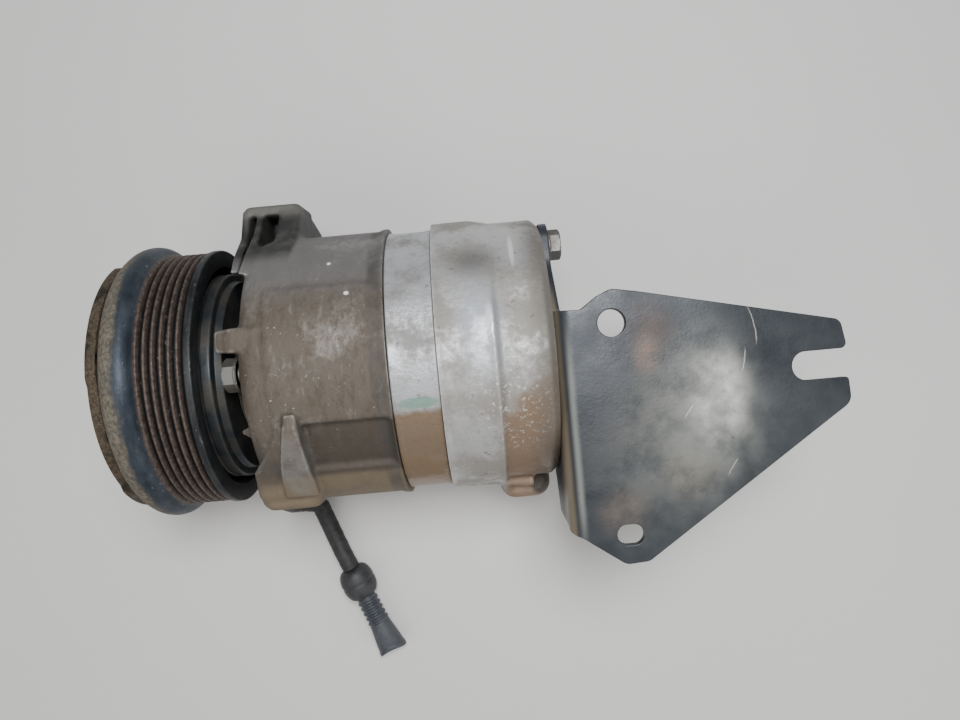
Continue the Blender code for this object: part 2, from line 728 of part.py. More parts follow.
def make_rear_head():
    """Rear head with its recess, chambers, ports, valve seats and the rear ear."""
    recess_x = stack_stations()["end"][0]
    band_x = HEAD_X + HEAD_BAND
    outline = [
        (HEAD_X, 0.0),
        (HEAD_X, BODY_R),
        (band_x, BODY_R),
        (band_x + HEAD_STEP, BODY_R - HEAD_STEP),
        (HEAD_END_X - HEAD_CHAMFER, BODY_R - HEAD_STEP),
        (HEAD_END_X, BODY_R - HEAD_STEP - HEAD_CHAMFER),
        (HEAD_END_X, 0.0),
    ]
    casing = turned("rear_head", outline, "cast_aluminium", steps=LARGE)
    add_ear(casing, "rear_ear", REAR_EAR)
    recess = rod("recess", HEAD_X - OVERRUN, recess_x, STACK_R + FIT, steps=LARGE)
    boolean(casing, "DIFFERENCE", recess)
    end = recess_x + CHAMBER_DEPTH
    discharge = rod("discharge_chamber", recess_x - OVERRUN, end, DISCHARGE_CHAMBER_R, steps=MIDDLE)
    boolean(casing, "DIFFERENCE", discharge)
    suction = ring(
        "suction_chamber", recess_x - OVERRUN, end, SUCTION_CHAMBER_INNER_R, SUCTION_CHAMBER_OUTER_R
    )
    boolean(casing, "DIFFERENCE", suction)
    boolean(casing, "DIFFERENCE", BOLT_HOLES)
    for name, radius, (y, h) in (
        ("suction_port", SUCTION_PORT_R, SUCTION_PORT),
        ("discharge_port", DISCHARGE_PORT_R, DISCHARGE_PORT),
    ):
        cutter = rod(name, end - OVERRUN, HEAD_END_X + OVERRUN, radius, None, y, h)
        boolean(casing, "DIFFERENCE", cutter)
    y, h = RELIEF_VALVE_AT
    seat_x = (HEAD_END_X - RELIEF_SEAT_DEPTH, HEAD_END_X + OVERRUN)
    seat = rod("relief_seat", *seat_x, RELIEF_STEM_R + FIT, None, y, h)
    boolean(casing, "DIFFERENCE", seat)
    low, high = CONTROL_VALVE_Y[0], BODY_R + CONTROL_SEAT_OVERRUN
    centre = place(CONTROL_VALVE_X, (low + high) / 2, CONTROL_VALVE_H)
    seat = prism("control_seat", CONTROL_VALVE_R + FIT, high - low, centre, (0, 1, 0), SMALL)
    boolean(casing, "DIFFERENCE", seat)
    for i, (y, h) in enumerate(BRACKET_BOLTS):
        start = HEAD_END_X - BRACKET_BOLT_GRIP - FIT
        hole = rod(f"bracket_thread_{i + 1}", start, HEAD_END_X + 0.002, BOLT_R + FIT, None, y, h)
        boolean(casing, "DIFFERENCE", hole)
    cut_ear_hole(casing, "rear_ear", REAR_EAR)


def make_valve_stack():
    """The thin plates between the block and the head."""
    stations = stack_stations()
    x1, x2 = stations["suction_reed_plate"]
    plate = ring("suction_reed_plate", x1, x2, OIL_HOLE_R, STACK_R, "bright_steel", LARGE)
    boolean(plate, "DIFFERENCE", BOLT_HOLES)
    boolean(plate, "DIFFERENCE", DISCHARGE_HOLES)
    x1, x2 = stations["valve_plate"]
    plate = ring("valve_plate", x1, x2, OIL_HOLE_R, STACK_R, "bright_steel", LARGE)
    boolean(plate, "DIFFERENCE", BOLT_HOLES)
    boolean(plate, "DIFFERENCE", DISCHARGE_HOLES)
    x1, x2 = stations["discharge_reed_plate"]
    count = 60
    star = []
    for k in range(count):
        angle = 2 * math.pi * k / count
        lobe = max(0.0, math.cos(CYLINDERS * (angle - FIRST_BORE))) ** 2
        radius = REED_HUB_R + (REED_TIP_R - REED_HUB_R) * lobe
        star.append((radius * math.cos(angle), radius * math.sin(angle)))
    slab_yh("discharge_reed_plate", [star, circle(OIL_HOLE_R)], x1, x2, "bright_steel")
    x1, x2 = stations["head_gasket"]
    inner = SUCTION_CHAMBER_OUTER_R + GASKET_INSET
    gasket = ring("head_gasket", x1, x2, inner, STACK_R, "gasket_fibre", LARGE)
    boolean(gasket, "DIFFERENCE", BOLT_HOLES)
    x1, x2 = BLOCK_X - SEAL_WIDTH - FIT, BLOCK_X - FIT
    outer = CAVITY_R - FIT
    ring("housing_seal", x1, x2, outer - SEAL_THICK, outer, "black_rubber", LARGE)


def make_pump():
    """Shaft, rotor, tilting plate, pistons and their bearings."""
    ring_end = SEAL_X - FIT
    shaft = [
        (SHAFT_FRONT_X, 0.0),
        (SHAFT_FRONT_X, THREAD_R),
        (HUB_X - FIT, THREAD_R),
        (HUB_X - FIT, HUB_SEAT_R),
        (HUB_END_X + HUB_SHOULDER, HUB_SEAT_R),
        (HUB_END_X + 2 * HUB_SHOULDER, SHAFT_R),
        (SHAFT_END_X, SHAFT_R),
        (SHAFT_END_X, 0.0),
    ]
    turned("drive_shaft", shaft, "bright_steel", steps=BEARING)
    inner = SHAFT_R + FIT
    ring("drive_rotor", ROTOR_X, ROTOR_X + ROTOR_LENGTH, inner, ROTOR_R, "zinc_steel")
    ring(
        "thrust_bearing", THRUST_X, THRUST_X + THRUST_LENGTH, inner, THRUST_R, "bright_steel"
    )
    ring(
        "front_shaft_bearing",
        FRONT_BEARING_X,
        FRONT_BEARING_X + FRONT_BEARING_LENGTH,
        inner,
        FRONT_BEARING_R,
        "bright_steel",
    )
    ring("rear_shaft_bearing", REAR_BEARING_X, SHAFT_END_X, inner, REAR_BEARING_R, "bright_steel")
    ring("shaft_seal", SEAL_X, SEAL_X + SEAL_LENGTH, inner, SEAL_R, "black_rubber")
    snap_ring("seal_retaining_ring", ring_end - RING_THICK, SEAL_R - SEAL_RING_DEPTH, SEAL_R)
    journal = (WOBBLE_X - JOURNAL_HALF, WOBBLE_X + JOURNAL_HALF)
    ring("swash_journal", *journal, JOURNAL_HOLE_R, JOURNAL_R, "zinc_steel", origin_x=WOBBLE_X)
    plate = (WOBBLE_X - WOBBLE_HALF, WOBBLE_X + WOBBLE_HALF)
    wobble = ring(
        "wobble_plate", *plate, JOURNAL_R + FIT, WOBBLE_R, "bright_steel", LARGE, origin_x=WOBBLE_X
    )
    sockets = around(
        "sockets", bore_angles(), BORE_PITCH_R, plate[0] - OVERRUN, plate[1] + OVERRUN, SOCKET_R
    )
    boolean(wobble, "DIFFERENCE", sockets)
    y, h = polar(CAVITY_R - GUIDE_PIN_INSET, GUIDE_PIN_TURN)
    rod("guide_pin", WALL_IN_X + FIT, SPIGOT_X - FIT, GUIDE_PIN_R, "bright_steel", y, h, 12)
    for i, angle in enumerate(bore_angles()):
        y, h = polar(BORE_PITCH_R, angle)
        rod(
            f"piston_{i + 1}",
            PISTON_X,
            PISTON_TOP_X,
            BORE_R - FIT,
            "machined_aluminium",
            y,
            h,
            BEARING,
            PISTON_X,
        )
        ball = [
            (
                WOBBLE_X - ROD_BALL_R * math.cos(math.radians(t)),
                ROD_BALL_R * math.sin(math.radians(t)),
            )
            for t in range(0, 150, 30)
        ]
        neck_x = WOBBLE_X + math.sqrt(ROD_BALL_R**2 - ROD_R**2)
        outline = ball + [(neck_x, ROD_R), (PISTON_X - FIT, ROD_R), (PISTON_X - FIT, 0.0)]
        turned(f"piston_rod_{i + 1}", outline, "bright_steel", y, h, 12, WOBBLE_X)


def make_return_spring():
    """Coil spring round the shaft, between the tilting plate and the block."""
    wire = SPRING_WIRE_R
    coil_r = SHAFT_R + FIT + 2 * wire
    start, end = SPIGOT_X - SPRING_LENGTH, SPIGOT_X - FIT - wire
    turns, per_turn = SPRING_TURNS, SMALL + 2
    curve = bpy.data.curves.new("return_spring", "CURVE")
    curve.dimensions = "3D"
    curve.bevel_depth = wire
    curve.bevel_resolution = 1
    curve.use_fill_caps = True
    spline = curve.splines.new("POLY")
    count = int(turns * per_turn)
    spline.points.add(count)
    for k, point in enumerate(spline.points):
        y, h = polar(coil_r, 2 * math.pi * k / per_turn)
        point.co = (start + (end - start) * k / count, y, h, 1)
    add_object("return_spring", curve, "bright_steel", place(0))


def snap_ring(name, x, inner, outer, steps=MIDDLE):
    """A ring with a gap in it, lying from station x towards the rear."""
    piece = ring(name, x, x + RING_THICK, inner, outer, "bright_steel", steps)
    gap = block(name + "_gap", (4 * RING_THICK, outer, RING_GAP), place(x, outer, 0))
    return boolean(piece, "DIFFERENCE", gap)


def rib_outline():
    """The belt grooves from front to rear: flat tops with V grooves between them."""
    points = []
    top = GROOVE_PITCH * RIB_TOP_SHARE
    start = PULLEY_FRONT_X + CROWN_LENGTH + CROWN_STEP
    for k in range(GROOVES):
        middle = start + GROOVE_PITCH * (k + 0.5)
        side = GROOVE_PITCH / 2 - top
        points += [
            (middle - side, GROOVE_TOP_R),
            (middle, GROOVE_TOP_R - GROOVE_DEPTH),
            (middle + side, GROOVE_TOP_R),
        ]
    return points


def make_pulley():
    """Pulley: crowned front rim, belt grooves, rear lip, and a ring-shaped space behind for the coil."""
    crown_end = PULLEY_FRONT_X + CROWN_LENGTH
    outline = [
        (PULLEY_FRONT_X, PULLEY_BORE_R),
        (PULLEY_FRONT_X, RIM_FRONT_R),
        *((PULLEY_FRONT_X + x, PULLEY_R - drop) for x, drop in CROWN),
        (crown_end, GROOVE_TOP_R + CROWN_STEP_R),
    ]
    outline += rib_outline()
    hub_end = BEARING_X + BALL_BEARING_LENGTH + PULLEY_HUB_LIP
    outline += [
        (PULLEY_REAR_X - LIP_LENGTH, GROOVE_TOP_R + LIP_RISE),
        (PULLEY_REAR_X, GROOVE_TOP_R + LIP_RISE),
        (PULLEY_REAR_X, RIM_INNER_R),
        (PULLEY_WEB_X, RIM_INNER_R),
        (PULLEY_WEB_X, PULLEY_HUB_R),
        (hub_end, PULLEY_HUB_R),
        (hub_end, PULLEY_BORE_R),
    ]
    turned("pulley", outline, "pulley_steel", steps=LARGE)


def make_clutch():
    """Bearing, coil, armature, leaf springs, hub and nut."""
    end = BEARING_X + BALL_BEARING_LENGTH
    for name, inner in (("bearing_inner_race", INNER_RACE_R), ("bearing_outer_race", OUTER_RACE_R)):
        ring(name, BEARING_X, end, inner, inner + RACE_THICK, "bright_steel", BEARING)
    ball_ring = (BEARING_X + BALL_RING_INSET, end - BALL_RING_INSET)
    outer = BALL_RING_R + BALL_RING_THICK
    ring("bearing_ball_ring", *ball_ring, BALL_RING_R, outer, "bright_steel", BEARING)
    ring_x = NECK_X + RING_THICK + FIT
    snap_ring("pulley_snap_ring", ring_x, NECK_R - RING_DEPTH + FIT, NECK_R + PULLEY_RING_STAND)
    ring_x = COIL_BACK_X - FIT - RING_THICK
    inner = NECK_SHOULDER_R - RING_DEPTH + FIT
    snap_ring("coil_retaining_ring", ring_x, inner, NECK_SHOULDER_R + COIL_RING_STAND)
    back = COIL_BACK_X - COIL_WALL
    shell = [
        (COIL_FRONT_X, COIL_R),
        (COIL_BACK_X, COIL_R),
        (COIL_BACK_X, COIL_PLATE_R),
        (COIL_REAR_X, COIL_PLATE_R),
        (COIL_REAR_X, NECK_SHOULDER_R + FIT),
        (COIL_BACK_X, NECK_SHOULDER_R + FIT),
        (COIL_BACK_X, COIL_INNER_R),
        (COIL_FRONT_X, COIL_INNER_R),
        (COIL_FRONT_X, COIL_INNER_R + COIL_WALL),
        (back, COIL_INNER_R + COIL_WALL),
        (back, COIL_R - COIL_WALL),
        (COIL_FRONT_X, COIL_R - COIL_WALL),
    ]
    turned("coil_shell", shell, "pulley_steel", steps=LARGE)
    inner, outer = COIL_INNER_R + COIL_WALL + FIT, COIL_R - COIL_WALL - FIT
    ring("coil_winding", COIL_FRONT_X + WINDING_INSET, back - FIT, inner, outer, "copper", LARGE)
    armature_end = ARMATURE_X + ARMATURE_THICK
    ring("armature_plate", ARMATURE_X, armature_end, ARMATURE_HOLE_R, ARMATURE_R, "rusty_steel", LARGE)
    for i in range(LEAVES):
        angle = 2 * math.pi * i / LEAVES
        inner_end = Vector(polar(LEAF_INNER_R, angle))
        outer_end = Vector(polar(LEAF_OUTER_R, angle + LEAF_SWEEP))
        along = (outer_end - inner_end).normalized() * LEAF_WIDTH / 2
        side = Vector((-along.y, along.x))
        corners = (
            inner_end - along - side,
            outer_end + along - side,
            outer_end + along + side,
            inner_end - along + side,
        )
        outline = rounded([(a, b, LEAF_ROUND_SHARE * LEAF_WIDTH) for a, b in corners])
        slab_yh(f"armature_spring_{i + 1}", [outline], LEAF_X, LEAF_X + LEAF_THICK, "bright_steel")
    hub = [
        (HUB_X, HUB_SEAT_R + FIT),
        (HUB_X, HUB_FLANGE_R),
        (HUB_X + HUB_FLANGE_THICK, HUB_FLANGE_R),
        (HUB_X + HUB_FLANGE_THICK, HUB_SLEEVE_R),
        (HUB_END_X, HUB_SLEEVE_R),
        (HUB_END_X, HUB_SEAT_R + FIT),
    ]
    turned("clutch_hub", hub, "zinc_steel")
    nut = prism(
        "shaft_nut", NUT_R, NUT_LENGTH, place(NUT_X + NUT_LENGTH / 2), (1, 0, 0), 6, "zinc_steel"
    )
    hole = rod("nut_hole", NUT_X - OVERRUN, NUT_X + NUT_LENGTH + OVERRUN, THREAD_R + FIT)
    boolean(nut, "DIFFERENCE", hole)


def bolt(name, head_x, head_length, head_r, tip_x, y, h):
    """A hexagon bolt. The head starts at head_x and has a signed length, and the tip is at tip_x."""
    centre = place(head_x + head_length / 2, y, h)
    piece = prism(name, head_r, abs(head_length), centre, (1, 0, 0), 6, "zinc_steel")
    inside = head_x + head_length / 2
    low, high = min(inside, tip_x), max(inside, tip_x)
    boolean(piece, "UNION", rod(name + "_shank", low, high, BOLT_R, None, y, h, 12))


def make_bolts():
    tip = HEAD_X + BOLT_GRIP
    for i, angle in enumerate(bolt_angles()):
        y, h = polar(BOLT_PITCH_R, angle)
        bolt(f"through_bolt_{i + 1}", FRONT_X - FIT, -BOLT_HEAD_LENGTH, BOLT_HEAD_R, tip, y, h)
    head_x = FLANGE_X + SHEET + FIT
    tip = HEAD_END_X - BRACKET_BOLT_GRIP
    for i, (y, h) in enumerate(BRACKET_BOLTS):
        bolt(f"bracket_bolt_{i + 1}", head_x, BRACKET_BOLT_HEAD, BRACKET_BOLT_HEAD_R, tip, y, h)


def make_valves():
    """Relief valve on the rear face, and the control valve in the side of the head."""
    y, h = RELIEF_VALVE_AT
    body = [
        (HEAD_END_X - RELIEF_STEM_LENGTH, 0.0),
        (HEAD_END_X - RELIEF_STEM_LENGTH, RELIEF_STEM_R),
        (HEAD_END_X + FIT, RELIEF_STEM_R),
        (HEAD_END_X + FIT, RELIEF_HEX_R),
        (HEAD_END_X + RELIEF_HEX_LENGTH, RELIEF_HEX_R),
        (HEAD_END_X + RELIEF_HEX_LENGTH, RELIEF_CAP_R),
        (HEAD_END_X + RELIEF_REACH, RELIEF_CAP_R),
        (HEAD_END_X + RELIEF_REACH, 0.0),
    ]
    turned("relief_valve", body, "brass", y, h, SMALL)
    low, high = CONTROL_VALVE_Y[0] + FIT, CONTROL_VALVE_Y[1]
    centre = place(CONTROL_VALVE_X, (low + high) / 2, CONTROL_VALVE_H)
    prism("control_valve", CONTROL_VALVE_R, high - low, centre, (0, 1, 0), SMALL, "brass")


def stadium(radius, half_run, at, sides=8):
    """A slot outline with its straight run along x."""
    points = []
    for end, start in ((1, -math.pi / 2), (-1, math.pi / 2)):
        for k in range(sides + 1):
            angle = start + math.pi * k / sides
            points.append(
                (at[0] + end * half_run + radius * math.cos(angle), at[1] + radius * math.sin(angle))
            )
    return points


def make_bracket():
    """A folded sheet: an L section kept only inside the outlines of its flange and its plate."""
    inner, outer = BEND_R - SHEET, BEND_R
    corner = (FLANGE_X, PLATE_TOP)
    section = rounded(
        [
            (FLANGE_X, -AXIS_H, 0),
            (FLANGE_X + SHEET, -AXIS_H, 0),
            (FLANGE_X + SHEET, PLATE_LOW, inner),
            (PLATE_TIP_X + BLANK_MARGIN, PLATE_LOW, 0),
            (PLATE_TIP_X + BLANK_MARGIN, PLATE_TOP, 0),
            (corner[0], corner[1], outer),
        ]
    )
    low = min(corner[1] for corner in PLATE_CORNERS) - BLANK_MARGIN
    high = UPPER_EAR["y"][1]
    bracket = slab_xh("rear_bracket", [section], low, high, "bracket_steel")
    plate_outline = rounded(PLATE_CORNERS)
    keep = slab_xy("plate_outline", [plate_outline], PLATE_LOW - BEND_R, PLATE_TOP + OVERRUN)
    flange_outline = rounded(FLANGE_CORNERS)
    x1, x2 = FLANGE_X - FLANGE_CUT[0], FLANGE_X + SHEET + FLANGE_CUT[1]
    flange = slab_yh("flange_outline", [flange_outline], x1, x2)
    boolean(keep, "UNION", flange)
    boolean(bracket, "INTERSECT", keep)
    run = PLATE_TIP_X + BLANK_MARGIN - SLOT_AT[0]
    slot = stadium(SLOT_R, run / 2, (SLOT_AT[0] + run / 2, SLOT_AT[1]))
    oval = stadium(OVAL_HOLE_R, OVAL_HOLE_LONG / 2, OVAL_HOLE_AT)
    for name, outline in (
        ("slot", slot),
        ("oval_hole", oval),
        ("round_hole", circle(ROUND_HOLE_R, *ROUND_HOLE_AT, 20)),
    ):
        cutter = slab_xy(name, [outline], PLATE_LOW - OVERRUN, PLATE_TOP + OVERRUN)
        boolean(bracket, "DIFFERENCE", cutter)
    for i, (y, h) in enumerate(BRACKET_BOLTS):
        hole = rod(
            f"bracket_hole_{i + 1}",
            FLANGE_X - OVERRUN,
            FLANGE_X + SHEET + OVERRUN,
            BOLT_R + FIT,
            None,
            y,
            h,
        )
        boolean(bracket, "DIFFERENCE", hole)


def smooth_path(points, per_span=4):
    """Points on a Catmull-Rom curve through the route's own points."""
    route = [Vector(p) for p in points]
    route = [2 * route[0] - route[1], *route, 2 * route[-1] - route[-2]]
    path = []
    for i in range(1, len(route) - 2):
        a, b, c, d = route[i - 1 : i + 3]
        for k in range(per_span):
            t = k / per_span
            path.append(
                0.5
                * (
                    2 * b
                    + (c - a) * t
                    + (2 * a - 5 * b + 4 * c - d) * t**2
                    + (3 * b - a - 3 * c + d) * t**3
                )
            )
    path.append(route[-2])
    return path


def turned_along(name, outline, start, direction, finish, steps=SMALL):
    """A turned shape whose axis starts at a world point and follows a direction."""
    piece = turned(name, outline, finish, steps=steps)
    piece.location = start
    piece.rotation_euler = Vector((0, 0, 1)).rotation_difference(direction).to_euler()
    return piece


def make_lead():
    """The coil's lead: socket, sleeve, grommet and connector."""
    reach = COIL_PLATE_R + FIT + SOCKET_REACH / 2
    y, h = polar(reach, SOCKET_TURN)
    x = LEAD_ROUTE[0][0]
    size = (SOCKET_SIDE, SOCKET_REACH, SOCKET_SIDE)
    block("lead_socket", size, place(x, y, h), "black_rubber", SOCKET_TURN)
    path = smooth_path(LEAD_ROUTE, 2)
    curve = bpy.data.curves.new("coil_lead", "CURVE")
    curve.dimensions = "3D"
    curve.bevel_depth = LEAD_R
    curve.bevel_resolution = 2
    curve.use_fill_caps = True
    spline = curve.splines.new("POLY")
    spline.points.add(len(path) - 1)
    for point, where in zip(spline.points, path, strict=True):
        point.co = (*where, 1)
    add_object("coil_lead", curve, "lead_sleeve", place(0))
    start = place(*LEAD_ROUTE[-1])
    direction = (path[-1] - path[-2]).normalized()
    start += direction * FIT
    ball_length = GROMMET_LENGTH
    ball = [(0.0, 0.0), (0.0, LEAD_R)]
    for k in range(1, 6):
        angle = math.pi * k / 6
        ball.append(
            (
                ball_length / 2 * (1 - math.cos(angle)),
                LEAD_R + (GROMMET_R - LEAD_R) * math.sin(angle),
            )
        )
    ball += [(ball_length, LEAD_R), (ball_length, 0.0)]
    turned_along("lead_grommet", ball, start, direction, "black_rubber")
    mouth_r = CONNECTOR_MOUTH_R - CONNECTOR_WALL
    boot = [
        (0.0, 0.0),
        (0.0, CONNECTOR_R),
        (CONNECTOR_LENGTH * CONNECTOR_NECK, CONNECTOR_R + CONNECTOR_SWELL),
        (CONNECTOR_LENGTH, CONNECTOR_MOUTH_R),
        (CONNECTOR_LENGTH, mouth_r),
        (CONNECTOR_LENGTH - CONNECTOR_DEPTH, mouth_r - CONNECTOR_TAPER),
        (CONNECTOR_LENGTH - CONNECTOR_DEPTH, 0.0),
    ]
    start += direction * (ball_length + FIT)
    turned_along("lead_connector", boot, start, direction, "lead_sleeve")


clear_scene()
PARTS = new_collection("ac_compressor")
CUTTERS = new_collection("cutters")
BOLT_HOLES = around(
    "bolt_holes",
    bolt_angles(),
    BOLT_PITCH_R,
    FRONT_X - BOLT_CUT_REACH,
    HEAD_X + BOLT_GRIP + FIT,
    BOLT_R + FIT,
    12,
)
DISCHARGE_HOLES = around(
    "discharge_holes",
    bore_angles(),
    DISCHARGE_PITCH_R,
    BLOCK_END_X - OVERRUN,
    HEAD_X + DISCHARGE_CUT_REACH,
    PORT_HOLE_R,
    10,
)
make_front_housing()
make_cylinder_block()
make_rear_head()
make_valve_stack()
make_pump()
make_return_spring()
make_pulley()
make_clutch()
make_bolts()
make_valves()
make_bracket()
make_lead()
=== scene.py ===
"""Looks of the automotive air-conditioning compressor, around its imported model.

Stations are those of the design: x runs along the shaft from the pulley towards the bracket, y across it and
h above it, in metres. ORIGIN carries a station to its place in the frame.
"""

import logging
import math
from collections.abc import Sequence
from dataclasses import dataclass, field
from enum import Enum

import bmesh
import bpy
import numpy as np
import numpy.typing as npt
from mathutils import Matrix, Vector


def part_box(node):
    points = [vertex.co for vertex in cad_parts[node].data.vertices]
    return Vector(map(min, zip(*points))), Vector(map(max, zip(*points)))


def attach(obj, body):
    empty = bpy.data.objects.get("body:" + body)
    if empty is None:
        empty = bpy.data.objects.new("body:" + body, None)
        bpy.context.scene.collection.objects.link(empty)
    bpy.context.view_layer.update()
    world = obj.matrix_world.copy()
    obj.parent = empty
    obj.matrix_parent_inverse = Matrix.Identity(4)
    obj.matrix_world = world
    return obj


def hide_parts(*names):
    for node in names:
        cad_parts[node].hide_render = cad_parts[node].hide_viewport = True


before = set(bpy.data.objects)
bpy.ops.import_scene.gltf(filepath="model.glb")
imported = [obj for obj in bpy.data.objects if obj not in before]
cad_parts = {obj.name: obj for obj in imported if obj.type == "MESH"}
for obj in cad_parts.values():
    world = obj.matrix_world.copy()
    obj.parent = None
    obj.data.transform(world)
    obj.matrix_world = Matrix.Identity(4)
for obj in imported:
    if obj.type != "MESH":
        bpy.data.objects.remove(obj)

Array = npt.NDArray[np.float64]
Socket = bpy.types.NodeSocket
Thing = bpy.types.Object

LOG = logging.getLogger("ac_compressor")
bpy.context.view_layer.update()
NECK_STATION = -0.155
SHAFT_LOW, SHAFT_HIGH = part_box("drive_shaft")
ORIGIN = np.array(
    [
        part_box("front_housing")[0].x - NECK_STATION,
        (SHAFT_LOW.y + SHAFT_HIGH.y) / 2,
        (SHAFT_LOW.z + SHAFT_HIGH.z) / 2,
    ]
)
FLOOR_H = -ORIGIN[2]
FIT = 0.0003
FULL_TURN = 2 * math.pi
CYLINDERS = 5
FIRST_BORE = math.radians(54)
BORE_PITCH_R = 0.036
BOLT_PITCH_R = 0.0525
BOLT_R = 0.004
BOLT_HOLE_R = BOLT_R + FIT
RIVET_R = 0.003
WHOLE = 0.09


class Axis(Enum):
    """The direction that a loft runs in, as the order of its (along, a, b) axes."""

    SHAFT = (0, 1, 2)
    ACROSS = (1, 0, 2)
    UP = (2, 0, 1)


def station(node: str, end: int) -> float:
    """Station x of a node's front (end 0) or rear (end 1).

    Args:
        node: The name of the CAD node.
        end: 0 for its lowest x, 1 for its highest.

    Returns:
        The station along the shaft, in metres.
    """
    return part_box(node)[end].x - ORIGIN[0]


def ends(node: str) -> tuple[float, float]:
    """Stations x of a node's front and rear."""
    return station(node, 0), station(node, 1)


def polar(radius: float, turn: float) -> tuple[float, float]:
    """(y, h) at a radius and turn round the shaft."""
    return radius * math.cos(turn), radius * math.sin(turn)


def bore_angles() -> Array:
    """Angles of the cylinders round the shaft, from +y towards +h."""
    return FIRST_BORE + FULL_TURN * np.arange(CYLINDERS) / CYLINDERS


def bolt_angles() -> Array:
    """Angles of the through bolts, which stand between the cylinders."""
    return bore_angles() - math.pi / CYLINDERS


def smooth(value: Array) -> Array:
    """Soft step from 0 to 1: the cubic 3t^2 - 2t^3 of the value held between 0 and 1."""
    t = np.clip(value, 0.0, 1.0)
    return t * t * (3.0 - 2.0 * t)


def window(value: Array, low: float, high: float, blur: float) -> Array:
    """1 between low and high and 0 outside, with a soft step as wide as blur at each end.

    Args:
        value: Where to read it.
        low: Start of the window.
        high: End of the window.
        blur: Width of each soft step.

    Returns:
        The weight at each value.
    """
    return smooth((value - low) / blur + 0.5) * (1.0 - smooth((value - high) / blur + 0.5))


def unit(vectors: Array) -> Array:
    """Vectors at length 1."""
    return vectors / np.maximum(np.linalg.norm(vectors, axis=-1, keepdims=True), 1e-12)


@dataclass
class Solid:
    """A closed surface: its points in stations, its quads and its triangles."""

    points: Array
    quads: npt.NDArray[np.int64]
    fans: npt.NDArray[np.int64]

    def volume(self) -> float:
        """Signed volume: a sixth of the sum of the triple products of all triangles."""
        triangles = np.vstack([self.quads[:, [0, 1, 2]], self.quads[:, [0, 2, 3]], self.fans])
        a, b, c = (self.points[triangles[:, k]] for k in range(3))
        return float(np.einsum("ij,ij->i", a, np.cross(b, c)).sum() / 6)

    def outward(self) -> "Solid":
        """The same surface with its faces pointing out."""
        if self.volume() >= 0:
            return self
        return Solid(self.points, self.quads[:, ::-1], self.fans[:, ::-1])


def skin(rings: Array, loop: bool = False) -> Solid:
    """Closed surface through rings of points: quads join neighbouring rings.

    Args:
        rings: Array (rings, points round, 3).
        loop: True joins the last ring to the first. Otherwise a fan about its centre closes each end.

    Returns:
        The closed surface, with its faces pointing out.
    """
    count, around = rings.shape[:2]
    index = np.arange(count * around).reshape(count, around)
    rows = np.vstack([index, index[:1]]) if loop else index
    near, far = rows[:-1], rows[1:]
    quads = np.stack([near, np.roll(near, -1, 1), np.roll(far, -1, 1), far], -1).reshape(-1, 4)
    points = rings.reshape(-1, 3)
    fans = np.zeros((0, 3), np.int64)
    if not loop:
        ends = np.stack([index[0], index[-1][::-1]])
        centres = np.repeat([[count * around], [count * around + 1]], around, 1)
        fans = np.stack([np.roll(ends, -1, 1), ends, centres], -1).reshape(-1, 3)
        points = np.vstack([points, rings[0].mean(0), rings[-1].mean(0)])
    return Solid(points, quads, fans).outward()


def rounded(corners: Sequence[Sequence[float]], steps: int = 6) -> Array:
    """Closed outline whose corners are arcs tangent to both sides.

    An arc's centre lies on the corner's bisector at radius / sin(half the corner's angle), and its points
    turn evenly from one tangent point to the other.

    Args:
        corners: Rows (a, b, radius).
        steps: Spans in each arc.

    Returns:
        Points (n, 2) without repeats.
    """
    table = np.array(corners, float)
    here, radius = table[:, :2], table[:, 2:3]
    before = unit(np.roll(here, 1, 0) - here)
    after = unit(np.roll(here, -1, 0) - here)
    half = np.arccos(np.clip((before * after).sum(1, keepdims=True), -1.0, 1.0)) / 2
    centre = here + unit(before + after) * radius / np.sin(half)
    first = here + before * radius / np.tan(half) - centre
    last = here + after * radius / np.tan(half) - centre
    sweep = math.pi - 2 * half
    share = np.linspace(0.0, 1.0, steps + 1)[None, :, None]
    turn = np.maximum(sweep[:, None], 1e-6)
    arcs = np.sin((1 - share) * turn) * first[:, None] + np.sin(share * turn) * last[:, None]
    points = (centre[:, None] + arcs / np.sin(turn)).reshape(-1, 2)
    apart = np.linalg.norm(points - np.roll(points, 1, 0), axis=1) > 1e-7
    return points[apart]


def turned(profile: Array, around: int = 128, y: float = 0.0, h: float = 0.0, loop: bool = False) -> Solid:
    """Shape turned round a line parallel to the shaft: (x, r) becomes (x, y + r cos, h + r sin) all round.

    Args:
        profile: Points (x, radius) of the outline.
        around: Points round a turn.
        y: The line's place across the shaft.
        h: The line's height above the shaft.
        loop: True for a ring whose outline closes on itself.

    Returns:
        The turned solid.
    """
    turn = np.linspace(0.0, FULL_TURN, around, endpoint=False)
    radius = profile[:, 1:2]
    x = np.broadcast_to(profile[:, :1], (len(profile), around))
    return skin(np.stack([x, y + radius * np.cos(turn), h + radius * np.sin(turn)], -1), loop)


def ring(x1: float, x2: float, inner: float, outer: float, edge: float = 0.0004, around: int = 128) -> Solid:
    """Ring round the shaft: a turned rectangle with its four edges rounded off."""
    corners = [(x1, inner, edge), (x1, outer, edge), (x2, outer, edge), (x2, inner, edge)]
    return turned(rounded(corners, 3), around, loop=True)


def rod(
    x1: float, x2: float, radius: float, y: float = 0.0, h: float = 0.0, edge: float = 0.0, around: int = 64
) -> Solid:
    """Cylinder along the shaft's direction, its end edges cut at 45 degrees by edge."""
    if edge == 0.0:
        profile = [(x1, radius), (x2, radius)]
    else:
        profile = [(x1, radius - edge), (x1 + edge, radius), (x2 - edge, radius), (x2, radius - edge)]
    return turned(np.array(profile), around, y, h)


